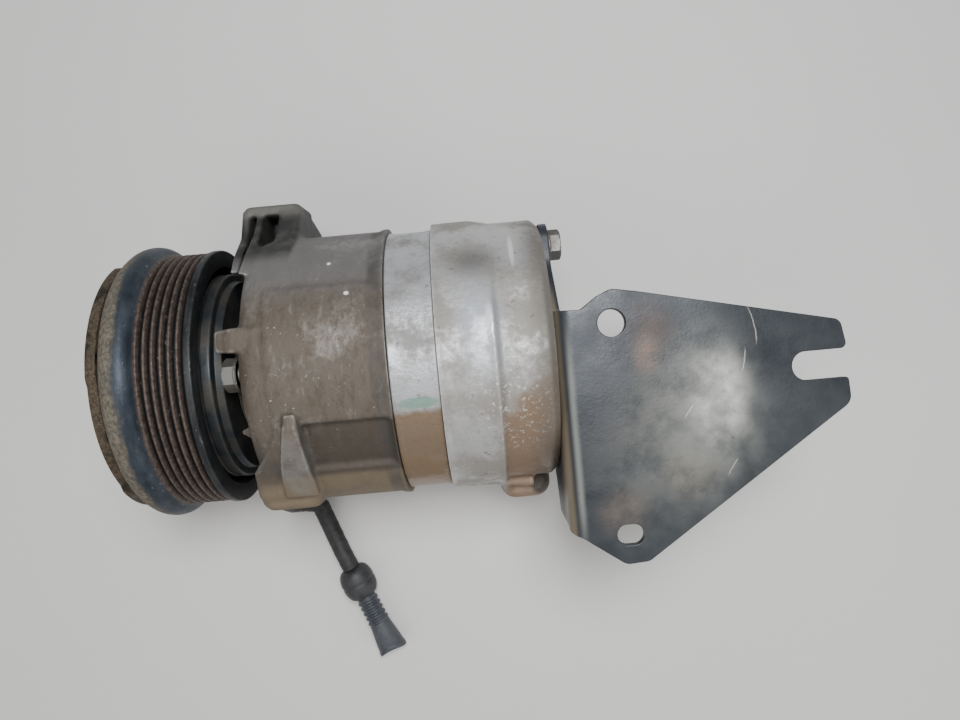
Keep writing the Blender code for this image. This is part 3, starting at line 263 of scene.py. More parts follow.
def bolt_rods(x1: float, x2: float, radius: float = BOLT_HOLE_R, around: int = 32) -> list[Solid]:
    """Cylinders on the through bolts' lines, for their holes and spot faces."""
    return [rod(x1, x2, radius, *polar(BOLT_PITCH_R, turn), around=around) for turn in bolt_angles()]


def rivet(x: float, rise: float, place: Array) -> Solid:
    """Rivet head that stands forward of a station: a dome on a short root."""
    dome = np.linspace(0.0, math.pi / 2, 7)
    profile = np.stack([x - rise * np.sin(dome), RIVET_R * np.cos(dome) + 0.0001], -1)
    return turned(np.vstack([[(x + 0.0002, RIVET_R + 0.0001)], profile]), 32, *place)


def groove(x: float, width: float, outer: float, inner: float) -> list[tuple[float, float, float]]:
    """Corners of a square groove in a turned outline, from its front edge on."""
    return [(x, outer, 0.0001), (x, inner, 0.0001), (x + width, inner, 0.0001), (x + width, outer, 0.0001)]


def mirrored(solid: Solid, low: float, high: float) -> Solid:
    """A solid turned end for end between two stations."""
    points = solid.points * (-1.0, 1.0, 1.0) + (low + high, 0.0, 0.0)
    return Solid(points, solid.quads, solid.fans).outward()


def swung(solid: Solid, axis: Axis, at: Array) -> Solid:
    """A solid made along x, laid along another axis: its (x, y, h) become that axis's (along, a, b)."""
    order = list(axis.value)
    points = np.empty_like(solid.points)
    points[:, order] = solid.points
    return Solid(points + at, solid.quads, solid.fans).outward()


def loft(axis: Axis, stations: Sequence[Sequence[float]], rows: int = 24, corner_steps: int = 6) -> Solid:
    """Block whose section is a rectangle with round corners, carried along an axis.

    Between stations the sides and corner radius change in a straight line. Each quarter of a section is an
    arc of the corner radius about a point that lies that far inside both sides.

    Args:
        axis: The direction it runs in.
        stations: Rows (along, a low, a high, b low, b high, corner radius).
        rows: Sections between the first and last station.
        corner_steps: Spans in each corner.

    Returns:
        The closed block.
    """
    table = np.array(stations, float)
    table = table[np.argsort(table[:, 0])]
    along = np.unique(np.concatenate([np.linspace(table[0, 0], table[-1, 0], rows), table[:, 0]]))
    a1, a2, b1, b2, corner = (np.interp(along, table[:, 0], table[:, k])[:, None] for k in range(1, 6))
    quarter = np.linspace(0.0, math.pi / 2, corner_steps + 1)
    turn = (np.arange(4)[:, None] * math.pi / 2 + quarter).reshape(1, -1)
    side_a = np.repeat([1.0, -1.0, -1.0, 1.0], corner_steps + 1)[None]
    side_b = np.repeat([1.0, 1.0, -1.0, -1.0], corner_steps + 1)[None]
    a = (a1 + a2) / 2 + side_a * ((a2 - a1) / 2 - corner) + corner * np.cos(turn)
    b = (b1 + b2) / 2 + side_b * ((b2 - b1) / 2 - corner) + corner * np.sin(turn)
    order = list(axis.value)
    rings = np.empty((*a.shape, 3))
    rings[..., order[0]] = along[:, None]
    rings[..., order[1]] = a
    rings[..., order[2]] = b
    return skin(rings)


def pillow(axis: Axis, size: Sequence[float], corner: float, edge: float) -> Solid:
    """Block with round corners and rounded ends: near each end its section draws in along a quarter circle.

    Args:
        axis: The direction it runs in.
        size: (along low, along high, a low, a high, b low, b high).
        corner: Radius of the four long corners.
        edge: Radius of the end edges.

    Returns:
        The closed block.
    """
    low, high, a1, a2, b1, b2 = size
    turn = np.linspace(0.0, math.pi / 2, 7)
    draw, reach = edge * (1 - np.sin(turn)), edge * (1 - np.cos(turn))
    rows = [
        (low + r, a1 + d, a2 - d, b1 + d, b2 - d, corner - d * 0.8) for d, r in zip(draw, reach, strict=True)
    ]
    rows += [
        (high - r, a1 + d, a2 - d, b1 + d, b2 - d, corner - d * 0.8) for d, r in zip(draw, reach, strict=True)
    ]
    return loft(axis, rows, 2)


def slab(x1: float, x2: float) -> Solid:
    """Box across the whole compressor between two stations, to cut a flat end."""
    return loft(Axis.SHAFT, [(x, -WHOLE, WHOLE, -WHOLE, WHOLE, 0.001) for x in (x1, x2)], 2)


def hexagon(turn: Array, flats: float) -> Array:
    """Radius of a hexagon at an angle: half its width across flats over the cosine from the nearest flat."""
    sixth = math.pi / 3
    return flats / 2 / np.cos(np.mod(turn, sixth) - sixth / 2)


def hex_solid(x1: float, x2: float, flats: float, y: float, h: float, outer_end: int) -> Solid:
    """Hexagon head: at each station the hexagon's radius, held under a cone at the end that faces out.

    Args:
        x1: Its front station.
        x2: Its rear station.
        flats: Width across flats.
        y: Its place across the shaft.
        h: Its height above the shaft.
        outer_end: 0 when the front faces out, 1 when the rear does.

    Returns:
        The closed head.
    """
    around = 72
    turn = np.linspace(0.0, FULL_TURN, around, endpoint=False)[None]
    depth = np.concatenate([[0.0, 0.0001, 0.0003], np.linspace(0.0006, 0.0022, 5), [x2 - x1]])[:, None]
    cone = flats * 0.475 + depth * 1.9
    radius = np.minimum(hexagon(turn, flats), cone)
    x = x1 + depth if outer_end == 0 else x2 - depth
    x = np.broadcast_to(x, radius.shape)
    return skin(np.stack([x, y + radius * np.cos(turn), h + radius * np.sin(turn)], -1))


def threaded(x1: float, x2: float, radius: float, pitch: float, y: float = 0.0, h: float = 0.0) -> Solid:
    """Screw thread: the radius falls by 0.55 pitch in a triangle wave of x / pitch less the turn.

    Args:
        x1: First station.
        x2: Last station.
        radius: Outer radius.
        pitch: Distance between turns.
        y: Its place across the shaft.
        h: Its height above the shaft.

    Returns:
        The closed thread.
    """
    turn = np.linspace(0.0, FULL_TURN, 24, endpoint=False)[None]
    x = np.linspace(x1, x2, max(4, int(6 * (x2 - x1) / pitch)))[:, None]
    wave = np.abs(np.mod(x / pitch - turn / FULL_TURN, 1.0) * 2 - 1)
    fade = smooth((x - x1) / (2 * pitch))
    lead_in = smooth((x2 - x) / pitch) * 0.3 + 0.7
    cut = radius - 0.55 * pitch * wave * fade
    cut = np.minimum(cut, radius * lead_in)
    x = np.broadcast_to(x, cut.shape)
    return skin(np.stack([x, y + cut * np.cos(turn), h + cut * np.sin(turn)], -1))


def tube(path: Array, radius: Array, reference: Array, sides: int = 24) -> Solid:
    """Tube along a path: round each point, side and up vectors from the path's direction and a reference.

    Args:
        path: Points (n, 3) in stations.
        radius: Radius at each point and side, (n, 1) or (n, sides).
        reference: A direction that the path never runs along.
        sides: Points round the tube.

    Returns:
        The closed tube.
    """
    ahead = unit(np.gradient(path, axis=0))
    side = unit(np.cross(ahead, reference))
    up = np.cross(side, ahead)
    turn = np.linspace(0.0, FULL_TURN, sides, endpoint=False)[None]
    across = (radius * np.cos(turn))[..., None] * side[:, None]
    above = (radius * np.sin(turn))[..., None] * up[:, None]
    return skin(path[:, None] + across + above)


def through(points: Array, per_span: int) -> Array:
    """Points on a Catmull-Rom curve through a route: each span is the cubic of its four nearest points."""
    route = np.vstack([2 * points[0] - points[1], points, 2 * points[-1] - points[-2]])
    a, b, c, d = (route[k : len(route) - 3 + k, None] for k in range(4))
    t = np.linspace(0.0, 1.0, per_span, endpoint=False)[None, :, None]
    spans = 0.5 * (2 * b + (c - a) * t + (2 * a - 5 * b + 4 * c - d) * t**2 + (3 * b - a - 3 * c + d) * t**3)
    return np.vstack([spans.reshape(-1, 3), points[-1]])


def new_object(name: str, solids: Sequence[Solid]) -> Thing:
    """Object at the origin that holds solids, with their stations carried to their place in the frame.

    Args:
        name: The object's name.
        solids: What it holds.

    Returns:
        The new object, linked to the scene.
    """
    starts = np.cumsum([0] + [len(s.points) for s in solids])
    points = np.vstack([s.points for s in solids]) + ORIGIN
    faces: list[list[int]] = []
    for solid, start in zip(solids, starts, strict=False):
        faces += (solid.quads + start).tolist() + (solid.fans + start).tolist()
    mesh = bpy.data.meshes.new(name)
    mesh.from_pydata(points.tolist(), [], faces)
    obj = bpy.data.objects.new(name, mesh)
    bpy.context.scene.collection.objects.link(obj)
    return obj


def settle(obj: Thing) -> Thing:
    """Put the result of an object's modifiers into its mesh, and take them off."""
    bpy.context.view_layer.update()
    graph = bpy.context.evaluated_depsgraph_get()
    mesh = bpy.data.meshes.new_from_object(obj.evaluated_get(graph))
    old = obj.data
    obj.modifiers.clear()
    obj.data = mesh
    bpy.data.meshes.remove(old)
    return obj


def shade(obj: Thing, angle: float = 35.0) -> Thing:
    """Smooth shading, with a sharp edge wherever two faces meet at more than an angle in degrees."""
    obj.data.shade_smooth()
    obj.data.set_sharp_from_angle(angle=math.radians(angle))
    return obj


def combine(obj: Thing, operation: str, solids: Sequence[Solid]) -> Thing:
    """Join solids to a piece or cut them from it. The solids of one call don't touch each other.

    Args:
        obj: The piece.
        operation: UNION or DIFFERENCE.
        solids: What to join or cut.

    Returns:
        The piece.
    """
    helper = new_object("helper", solids)
    modifier = obj.modifiers.new("combine", "BOOLEAN")
    modifier.operation = operation
    modifier.solver = "EXACT"
    modifier.object = helper
    settle(obj)
    bpy.data.objects.remove(helper)
    return obj


def cast(name: str, solids: Sequence[Solid], voxel: float, softening: int) -> Thing:
    """Casting: the solids flow into one skin of even cells, and their corners soften as in a mould.

    Args:
        name: The piece's name.
        solids: Closed shapes that overlap.
        voxel: Size of the cells.
        softening: Rounds of smoothing.

    Returns:
        The cast piece.
    """
    obj = new_object(name, solids)
    merge = obj.modifiers.new("merge", "REMESH")
    merge.mode = "VOXEL"
    merge.voxel_size = voxel * 1.0
    soften = obj.modifiers.new("soften", "SMOOTH")
    soften.factor = 0.5
    soften.iterations = softening
    return settle(obj)


def fit(obj: Thing, material: bpy.types.Material, slot: str, body: str, *nodes: str) -> Thing:
    """Give a finished piece its material, its body and the nodes that it stands for.

    Args:
        obj: The piece.
        material: Its finish.
        slot: The record's material slot; not used.
        body: The body that it rides on.
        nodes: The CAD nodes that it replaces.

    Returns:
        The piece.
    """
    obj.data.materials.clear()
    obj.data.materials.append(material)
    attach(obj, body)
    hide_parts(*nodes)
    LOG.info("%s: %d points on %s", obj.name, len(obj.data.vertices), body)
    return obj


def make(
    name: str,
    solids: Sequence[Solid],
    material: bpy.types.Material,
    slot: str,
    body: str,
    angle: float = 35.0,
) -> Thing:
    """A piece of the same name as the CAD node that it replaces, straight from solids."""
    obj = shade(new_object(name + "_detail", solids), angle)
    return fit(obj, material, slot, body, name)


# Finishes


class Graph:
    """The nodes of one material, with short calls for what the finishes share."""

    def __init__(self, name: str) -> None:
        """Start a material that reads Object coordinates, whole and as stations."""
        self.material = bpy.data.materials.new(name)
        self.material.use_nodes = True
        self.tree = self.material.node_tree
        self.shader = self.tree.nodes["Principled BSDF"]
        self.place: Socket = self.tree.nodes.new("ShaderNodeTexCoord").outputs["Object"]
        split = self.tree.nodes.new("ShaderNodeSeparateXYZ")
        self.tree.links.new(self.place, split.inputs[0])
        self.along, self.across, self.height = (
            self.calc("SUBTRACT", output, float(start)) for output, start in zip(
                split.outputs, ORIGIN, strict=True
            )
        )

    def feed(self, socket: Socket, value: Socket | float | Sequence[float]) -> None:
        """Link a socket to another, or set its value."""
        if isinstance(value, bpy.types.NodeSocket):
            self.tree.links.new(value, socket)
        else:
            socket.default_value = value

    def calc(self, operation: str, a: Socket | float, b: Socket | float = 0.0) -> Socket:
        """One Math node."""
        node = self.tree.nodes.new("ShaderNodeMath")
        node.operation = operation
        self.feed(node.inputs[0], a)
        self.feed(node.inputs[1], b)
        return node.outputs[0]

    def times(self, a: Socket | float, b: Socket | float) -> Socket:
        """Product of two values."""
        return self.calc("MULTIPLY", a, b)

    def plus(self, a: Socket | float, b: Socket | float) -> Socket:
        """Sum of two values."""
        return self.calc("ADD", a, b)

    def less(self, a: Socket | float, b: Socket | float) -> Socket:
        """The first value less the second."""
        return self.calc("SUBTRACT", a, b)

    def away(self, a: Socket, b: Socket) -> Socket:
        """Distance that two square offsets make: the root of the sum of their squares."""
        return self.calc("SQRT", self.plus(self.times(a, a), self.times(b, b)))

    def noise(
        self,
        scale: float,
        detail: float = 4.0,
        rough: float = 0.55,
        stretch: Sequence[float] = (1.0, 1.0, 1.0),
        shift: float = 0.0,
    ) -> Socket:
        """Fractal noise over the piece.

        Args:
            scale: Cells per metre.
            detail: Octaves.
            rough: Share of each finer octave.
            stretch: Scale along each axis.
            shift: Moves the pattern, so that two finishes differ.

        Returns:
            The noise's value.
        """
        mapping = self.tree.nodes.new("ShaderNodeMapping")
        self.feed(mapping.inputs["Vector"], self.place)
        mapping.inputs["Location"].default_value = (shift, shift * 0.7, shift * 1.3)
        mapping.inputs["Scale"].default_value = stretch
        node = self.tree.nodes.new("ShaderNodeTexNoise")
        self.feed(node.inputs["Vector"], mapping.outputs[0])
        node.inputs["Scale"].default_value = scale
        node.inputs["Detail"].default_value = detail
        node.inputs["Roughness"].default_value = rough
        return node.outputs["Fac"]

    def span(
        self, value: Socket, low: float, high: float, to_low: float = 0.0, to_high: float = 1.0
    ) -> Socket:
        """Soft step of a value from one range to another."""
        node = self.tree.nodes.new("ShaderNodeMapRange")
        node.interpolation_type = "SMOOTHSTEP"
        self.feed(node.inputs["Value"], value)
        for name, number in (("From Min", low), ("From Max", high), ("To Min", to_low), ("To Max", to_high)):
            node.inputs[name].default_value = number
        return node.outputs["Result"]

    def between(self, value: Socket, low: float, high: float, blur: float) -> Socket:
        """1 where a value lies between two others, fading over blur."""
        rise = self.span(value, low - blur / 2, low + blur / 2)
        fall = self.span(value, high - blur / 2, high + blur / 2, 1.0, 0.0)
        return self.times(rise, fall)

    def blob(self, centre: Sequence[float], size: Sequence[float], edge: float = 0.5) -> Socket:
        """1 inside an ellipsoid about a station and 0 outside, over the share edge of its size."""
        mapping = self.tree.nodes.new("ShaderNodeMapping")
        mapping.vector_type = "TEXTURE"
        self.feed(mapping.inputs["Vector"], self.place)
        mapping.inputs["Location"].default_value = tuple(np.array(centre) + ORIGIN)
        mapping.inputs["Scale"].default_value = size
        length = self.tree.nodes.new("ShaderNodeVectorMath")
        length.operation = "LENGTH"
        self.feed(length.inputs[0], mapping.outputs[0])
        return self.span(length.outputs["Value"], 1.0 - edge, 1.0, 1.0, 0.0)

    def mix(self, share: Socket | float, a: Socket | Sequence[float], b: Socket | Sequence[float]) -> Socket:
        """Blend of two colours."""
        node = self.tree.nodes.new("ShaderNodeMix")
        node.data_type = "RGBA"
        self.feed(node.inputs[0], share)
        self.feed(node.inputs[6], a if isinstance(a, bpy.types.NodeSocket) else (*a, 1.0))
        self.feed(node.inputs[7], b if isinstance(b, bpy.types.NodeSocket) else (*b, 1.0))
        return node.outputs[2]

    def stain(self, colour: Socket, where: Socket, share: float, tint: Sequence[float]) -> Socket:
        """A colour with a share of a tint over it where a mask says."""
        return self.mix(self.times(where, share), colour, tint)

    def edges(self, low: float, high: float) -> Socket:
        """How far a spot stands out of its surroundings, from the mesh's pointiness."""
        return self.span(self.tree.nodes.new("ShaderNodeNewGeometry").outputs["Pointiness"], low, high)

    def bump(
        self, height: Socket, distance: float, strength: float = 1.0, under: Socket | None = None
    ) -> Socket:
        """Relief normal from a height, a depth in metres and a strength."""
        node = self.tree.nodes.new("ShaderNodeBump")
        node.inputs["Strength"].default_value = strength
        node.inputs["Distance"].default_value = distance
        self.feed(node.inputs["Height"], height)
        if under is not None:
            self.feed(node.inputs["Normal"], under)
        return node.outputs[0]

    def finish(
        self, colour: Socket, rough: Socket | float, metallic: Socket | float, normal: Socket | None
    ) -> bpy.types.Material:
        """Feed the shader and hand over the material."""
        self.feed(self.shader.inputs["Base Color"], colour)
        self.feed(self.shader.inputs["Roughness"], rough)
        self.feed(self.shader.inputs["Metallic"], metallic)
        if normal is not None:
            self.feed(self.shader.inputs["Normal"], normal)
        return self.material


@dataclass(frozen=True)
class CastFinish:
    """Sand-cast aluminium: grainy skin, road grime in blotches, grime and painted shade in hollows, bare
    metal on edges.
    """

    name: str
    metal: tuple[float, float, float] = (0.42, 0.41, 0.40)
    grime: tuple[float, float, float] = (0.20, 0.175, 0.145)
    dark: tuple[float, float, float] = (0.035, 0.032, 0.028)
    grime_low: float = 0.42
    grime_high: float = 0.62
    shift: float = 0.0

    def skin(self, graph: Graph) -> tuple[Socket, Socket, Socket]:
        """Colour, roughness and relief that every casting shares."""
        blotch = graph.noise(34.0, 6.0, 0.62, shift=self.shift)
        fine = graph.noise(420.0, 5.0, 0.6, shift=self.shift)
        grain = graph.noise(1500.0, 3.0, 0.6)
        patch = graph.span(graph.plus(blotch, graph.times(fine, 0.25)), self.grime_low, self.grime_high)
        colour = graph.mix(patch, self.metal, self.grime)
        speck = graph.span(graph.noise(260.0, 4.0, 0.7, shift=self.shift + 3.0), 0.60, 0.72)
        colour = graph.stain(colour, speck, 0.55, self.dark)
        pale = graph.span(graph.noise(700.0, 2.0, 0.5, shift=self.shift + 9.0), 0.70, 0.78)
        colour = graph.stain(colour, pale, 0.6, (0.62, 0.60, 0.56))
        # Concave spots go near black: grime that gathers there, and painted shade.
        hollow = graph.edges(0.50, 0.44)
        colour = graph.stain(colour, hollow, 0.85, self.dark)
        edge = graph.edges(0.515, 0.56)
        colour = graph.stain(colour, edge, 0.5, (0.60, 0.59, 0.57))
        rough = graph.span(patch, 0.0, 1.0, 0.42, 0.68)
        relief = graph.plus(graph.times(grain, 0.35), fine)
        relief = graph.plus(relief, graph.times(blotch, 1.5))
        return colour, rough, graph.bump(relief, 0.0005, 0.55)


@dataclass(frozen=True)
class CrankcaseFinish(CastFinish):
    """The crankcase: tan road dust, painted light and shade, darker in the recess, tan low on the side, chips
    of bare metal.
    """

    def build(self) -> bpy.types.Material:
        """The casting with its own stains, and with painted light and shade."""
        graph = Graph(self.name)
        colour, rough, normal = self.skin(graph)
        cloud = graph.noise(90.0, 4.0, 0.6, shift=5.0)
        streak = graph.noise(150.0, 6.0, 0.7, stretch=(1.8, 0.6, 0.8), shift=11.0)
        brown = graph.times(graph.span(streak, 0.50, 0.60), 0.55)
        colour = graph.mix(brown, colour, (0.074, 0.056, 0.040))
        fleck = graph.times(graph.span(streak, 0.42, 0.34), 0.30)
        colour = graph.mix(fleck, colour, (0.27, 0.25, 0.22))
        # Painted light: the upper side is a lighter, bluer grey where the light from above falls.
        painted_cool_light = graph.times(graph.span(graph.across, 0.026, 0.042), 0.55)
        colour = graph.mix(painted_cool_light, colour, (0.185, 0.185, 0.195))
        # Painted shade: the upper ear's pockets are a mottled near black.
        ear_shade_mottle = graph.times(graph.span(cloud, 0.35, 0.6, 0.70, 1.0), graph.span(graph.along, -0.0800, -0.0825))
        ear = graph.times(graph.span(graph.across, 0.0470, 0.0560), ear_shade_mottle)
        colour = graph.mix(ear, colour, (0.028, 0.029, 0.027))
        lit = graph.times(graph.span(graph.across, 0.0745, 0.0775), graph.span(graph.height, -0.006, 0.000))
        colour = graph.stain(colour, lit, 0.7, (0.155, 0.150, 0.135))
        # Painted shadow: the upper ear's column is dark below the ear.
        deep = graph.times(graph.span(graph.height, -0.010, -0.018), graph.span(graph.across, 0.050, 0.056))
        colour = graph.stain(colour, deep, 0.6, (0.040, 0.040, 0.040))
        # Tan low on the side: partly dust, partly painted warm light reflected up from below.
        low = graph.times(graph.span(graph.across, -0.043, -0.050), graph.span(cloud, 0.3, 0.6, 0.5, 0.9))
        colour = graph.mix(low, colour, (0.18, 0.14, 0.09))
        side = graph.span(graph.along, -0.0785, -0.0765)
        recess = graph.times(graph.between(graph.across, -0.0475, -0.0235, 0.003), graph.times(side, 0.75))
        colour = graph.mix(recess, colour, (0.052, 0.042, 0.033))
        # Painted shade on the left flank of the lower ear's tower.
        flank = graph.blob((-0.1000, -0.0400, 0.040), (0.0125, 0.0165, 0.03), 0.4)
        colour = graph.stain(colour, flank, 0.5, (0.070, 0.064, 0.056))
        # Painted light, mottled, on the tower's higher ridge on its right.
        lit_crest = graph.blob((-0.0835, -0.0420, 0.050), (0.0085, 0.0230, 0.03), 0.5)
        lit_crest = graph.times(lit_crest, graph.span(cloud, 0.35, 0.6, 0.12, 0.42))
        colour = graph.mix(lit_crest, colour, (0.235, 0.238, 0.235))
        # Painted shadow: a dark band along the seam and its lip.
        seam = graph.times(
            graph.between(graph.along, -0.0460, -0.0395, 0.003), graph.span(cloud, 0.3, 0.7, 0.2, 0.7)
        )
        colour = graph.mix(seam, colour, (0.050, 0.047, 0.044))
        for centre, size in (((-0.0631, 0.0454, 0.045), 0.0009), ((-0.0543, 0.0305, 0.056), 0.0011)):
            chip = graph.blob(centre, (size * 1.3, size, 0.01), 0.6)
            colour = graph.mix(chip, colour, (0.9, 0.89, 0.86))
        return graph.finish(colour, rough, 0.30, normal)


@dataclass(frozen=True)
class BlockFinish(CastFinish):
    """The cylinder block: bright on top, tan below with painted warm light, with a dab of sealing paint
    between.
    """

    def build(self) -> bpy.types.Material:
        """The casting with its paint and its tan side, dust with painted warm light."""
        graph = Graph(self.name)
        colour, rough, normal = self.skin(graph)
        # Tan below: partly dust, partly painted warm light reflected up from below.
        ragged = graph.times(graph.less(graph.noise(200.0, 4.0, 0.6), 0.5), 0.006)
        waved = graph.plus(graph.across, ragged)
        tan = graph.times(graph.span(waved, -0.020, -0.024), 0.85)
        colour = graph.mix(tan, colour, (0.190, 0.118, 0.054))
        dab = graph.times(graph.blob((-0.0275, -0.0185, 0.060), (0.0104, 0.0030, 0.02), 0.35), 0.85)
        colour = graph.mix(dab, colour, (0.20, 0.33, 0.27))
        return graph.finish(colour, rough, 0.45, normal)


@dataclass(frozen=True)
class HeadFinish(CastFinish):
    """The rear head: pale mottled metal, a smoky smudge, tan dirt with painted warm light towards the
    bracket, painted highlights and shade.
    """

    def build(self) -> bpy.types.Material:
        """The casting with its smudge and its dirt, painted highlights on top and painted shade by the rear
        ear.
        """
        graph = Graph(self.name)
        colour, rough, normal = self.skin(graph)
        smudge = graph.times(graph.blob((0.0005, 0.0395, 0.048), (0.017, 0.013, 0.02), 0.9), 0.75)
        colour = graph.mix(smudge, colour, (0.13, 0.12, 0.11))
        # Tan low towards the rear: partly dirt, partly painted warm light reflected up from below.
        ragged = graph.times(graph.less(graph.noise(120.0, 5.0, 0.65), 0.5), 0.03)
        waved = graph.plus(graph.plus(graph.across, ragged), graph.times(graph.along, -0.9))
        tan = graph.times(graph.span(waved, -0.028, -0.044), graph.span(graph.along, 0.004, 0.010))
        colour = graph.stain(colour, tan, 0.85, (0.22, 0.14, 0.08))
        back = graph.times(graph.span(graph.along, 0.017, 0.030), 0.74)
        colour = graph.mix(back, colour, (0.135, 0.122, 0.105))
        salt = graph.span(graph.noise(460.0, 4.0, 0.7, shift=6.0), 0.56, 0.64)
        salted = graph.times(salt, graph.blob((0.010, -0.022, 0.055), (0.024, 0.032, 0.04), 0.7))
        colour = graph.stain(colour, salted, 0.6, (0.72, 0.72, 0.71))
        # Painted highlight: a pale bluish patch on top, where the light from above falls.
        painted_cool_light = graph.times(graph.blob((0.001, 0.012, 0.060), (0.015, 0.034, 0.03), 0.9), 0.6)
        colour = graph.mix(painted_cool_light, colour, (0.50, 0.555, 0.63))
        # Painted highlights: a white streak on the band's ridge, and a glint further back.
        streak = graph.blob((0.0052, 0.0135, 0.060), (0.0022, 0.010, 0.03), 0.8)
        colour = graph.stain(colour, streak, 0.8, (0.85, 0.87, 0.90))
        glint = graph.blob((0.0175, 0.0440, 0.045), (0.0016, 0.0120, 0.02), 0.7)
        colour = graph.stain(colour, glint, 0.8, (0.80, 0.81, 0.82))
        # Painted shade: the hollow behind the rear ear's bar is painted near black.
        pocket_shade = graph.blob((0.0245, -0.0670, 0.0), (0.0065, 0.0075, 0.02), 0.4)
        colour = graph.stain(colour, pocket_shade, 0.85, (0.032, 0.028, 0.025))
        return graph.finish(colour, rough, 0.45, normal)


@dataclass(frozen=True)
class MetalFinish:
    """Machined, plated or ground metal: fine turning lines, faint stains and dull spots."""

    name: str
    colour: tuple[float, float, float]
    stain: tuple[float, float, float]
    rough: float = 0.3
    amount: float = 0.35
    lines: float = 0.5
    metallic: float = 1.0

    def build(self) -> bpy.types.Material:
        """Turning lines run round the shaft, so their noise is stretched to nothing across it."""
        graph = Graph(self.name)
        cloud = graph.noise(70.0, 5.0, 0.6, shift=2.0)
        fine = graph.noise(900.0, 3.0, 0.6)
        share = graph.times(graph.span(graph.plus(cloud, graph.times(fine, 0.2)), 0.5, 0.72), self.amount)
        colour = graph.mix(share, self.colour, self.stain)
        rough = graph.span(cloud, 0.3, 0.7, self.rough, min(1.0, self.rough + 0.22))
        line = graph.noise(5200.0, 2.0, 0.5, stretch=(1.0, 0.004, 0.004))
        relief = graph.plus(graph.times(line, self.lines), graph.times(fine, 0.4))
        return graph.finish(colour, rough, self.metallic, graph.bump(relief, 0.00012, 0.5))


@dataclass(frozen=True)
class PulleyFinish:
    """The pulley: dusty tan on the front of its crown, dark steel behind, rust on the belt ribs, painted
    shade in the grooves and rim.
    """

    name: str
    crown_x: float
    groove_x: float
    lip_x: float

    def build(self) -> bpy.types.Material:
        """Bands along the shaft, made ragged by noise."""
        graph = Graph(self.name)
        rub = graph.noise(60.0, 6.0, 0.65, stretch=(3.0, 1.0, 1.0), shift=1.0)
        fine = graph.noise(520.0, 5.0, 0.65)
        ragged = graph.plus(graph.along, graph.times(graph.less(rub, 0.5), 0.010))
        steel = graph.mix(graph.span(rub, 0.35, 0.7), (0.020, 0.028, 0.040), (0.050, 0.062, 0.080))
        dust = graph.mix(graph.span(fine, 0.3, 0.7), (0.070, 0.060, 0.043), (0.195, 0.172, 0.130))
        front = graph.times(graph.span(ragged, self.crown_x + 0.0030, self.crown_x - 0.0010), 0.88)
        colour = graph.mix(front, steel, dust)
        belt = graph.between(graph.along, self.groove_x, self.lip_x, 0.0008)
        radius = graph.away(graph.across, graph.height)
        rust = graph.mix(graph.span(fine, 0.3, 0.7), (0.055, 0.040, 0.034), (0.135, 0.105, 0.088))
        # Painted shade: the bottoms of the belt grooves are near black.
        valley_shade = graph.span(radius, 0.0604, 0.0586)
        belted = graph.mix(valley_shade, rust, (0.012, 0.012, 0.013))
        colour = graph.mix(belt, colour, belted)
        lip = graph.span(graph.along, self.lip_x - 0.0004, self.lip_x + 0.0004)
        bright = graph.mix(graph.span(rub, 0.35, 0.65), (0.013, 0.015, 0.018), (0.044, 0.047, 0.048))
        outside = graph.span(radius, 0.0565, 0.0575)
        colour = graph.mix(graph.times(lip, outside), colour, bright)
        # Painted shade: everything inside the rim's outer radius, its hollow, web and hub, is near black.
        inside = graph.less(1.0, outside)
        colour = graph.stain(colour, inside, 0.85, (0.022, 0.020, 0.018))
        worn = graph.span(graph.noise(900.0, 3.0, 0.7, stretch=(1.0, 0.25, 0.25), shift=4.0), 0.62, 0.75)
        colour = graph.stain(colour, worn, 0.5, (0.33, 0.32, 0.31))
        rough = graph.span(front, 0.0, 0.8, 0.52, 0.78)
        rough = graph.calc("MAXIMUM", rough, graph.times(belt, 0.62))
        metal = graph.less(0.55, graph.times(front, 0.45))
        relief = graph.plus(graph.times(fine, 0.7), graph.times(rub, 0.4))
        return graph.finish(colour, rough, metal, graph.bump(relief, 0.0004, 0.5))


@dataclass(frozen=True)
class RustFinish:
    """Steel with a skin of rust: pits, orange bloom and rubbed metal where it touches."""

    name: str
    deep: tuple[float, float, float] = (0.028, 0.021, 0.014)
    bloom: tuple[float, float, float] = (0.095, 0.070, 0.042)
    rubbed: tuple[float, float, float] = (0.052, 0.044, 0.032)
    rubbed_from: float = 0.56

    def build(self) -> bpy.types.Material:
        """Two scales of noise mix deep rust, bloom and rubbed metal."""
        graph = Graph(self.name)
        cloud = graph.noise(80.0, 6.0, 0.65, shift=6.0)
        fine = graph.noise(850.0, 5.0, 0.7)
        colour = graph.mix(graph.span(fine, 0.35, 0.65), self.deep, self.bloom)
        bare = graph.span(
            graph.plus(cloud, graph.times(fine, 0.12)), self.rubbed_from, self.rubbed_from + 0.14
        )
        colour = graph.mix(bare, colour, self.rubbed)
        rough = graph.span(bare, 0.0, 1.0, 0.82, 0.42)
        metal = graph.span(bare, 0.0, 1.0, 0.15, 0.85)
        relief = graph.plus(graph.times(fine, 1.0), graph.times(cloud, 0.5))
        return graph.finish(colour, rough, metal, graph.bump(relief, 0.0004, 0.6))


Triple = tuple[float, float, float]


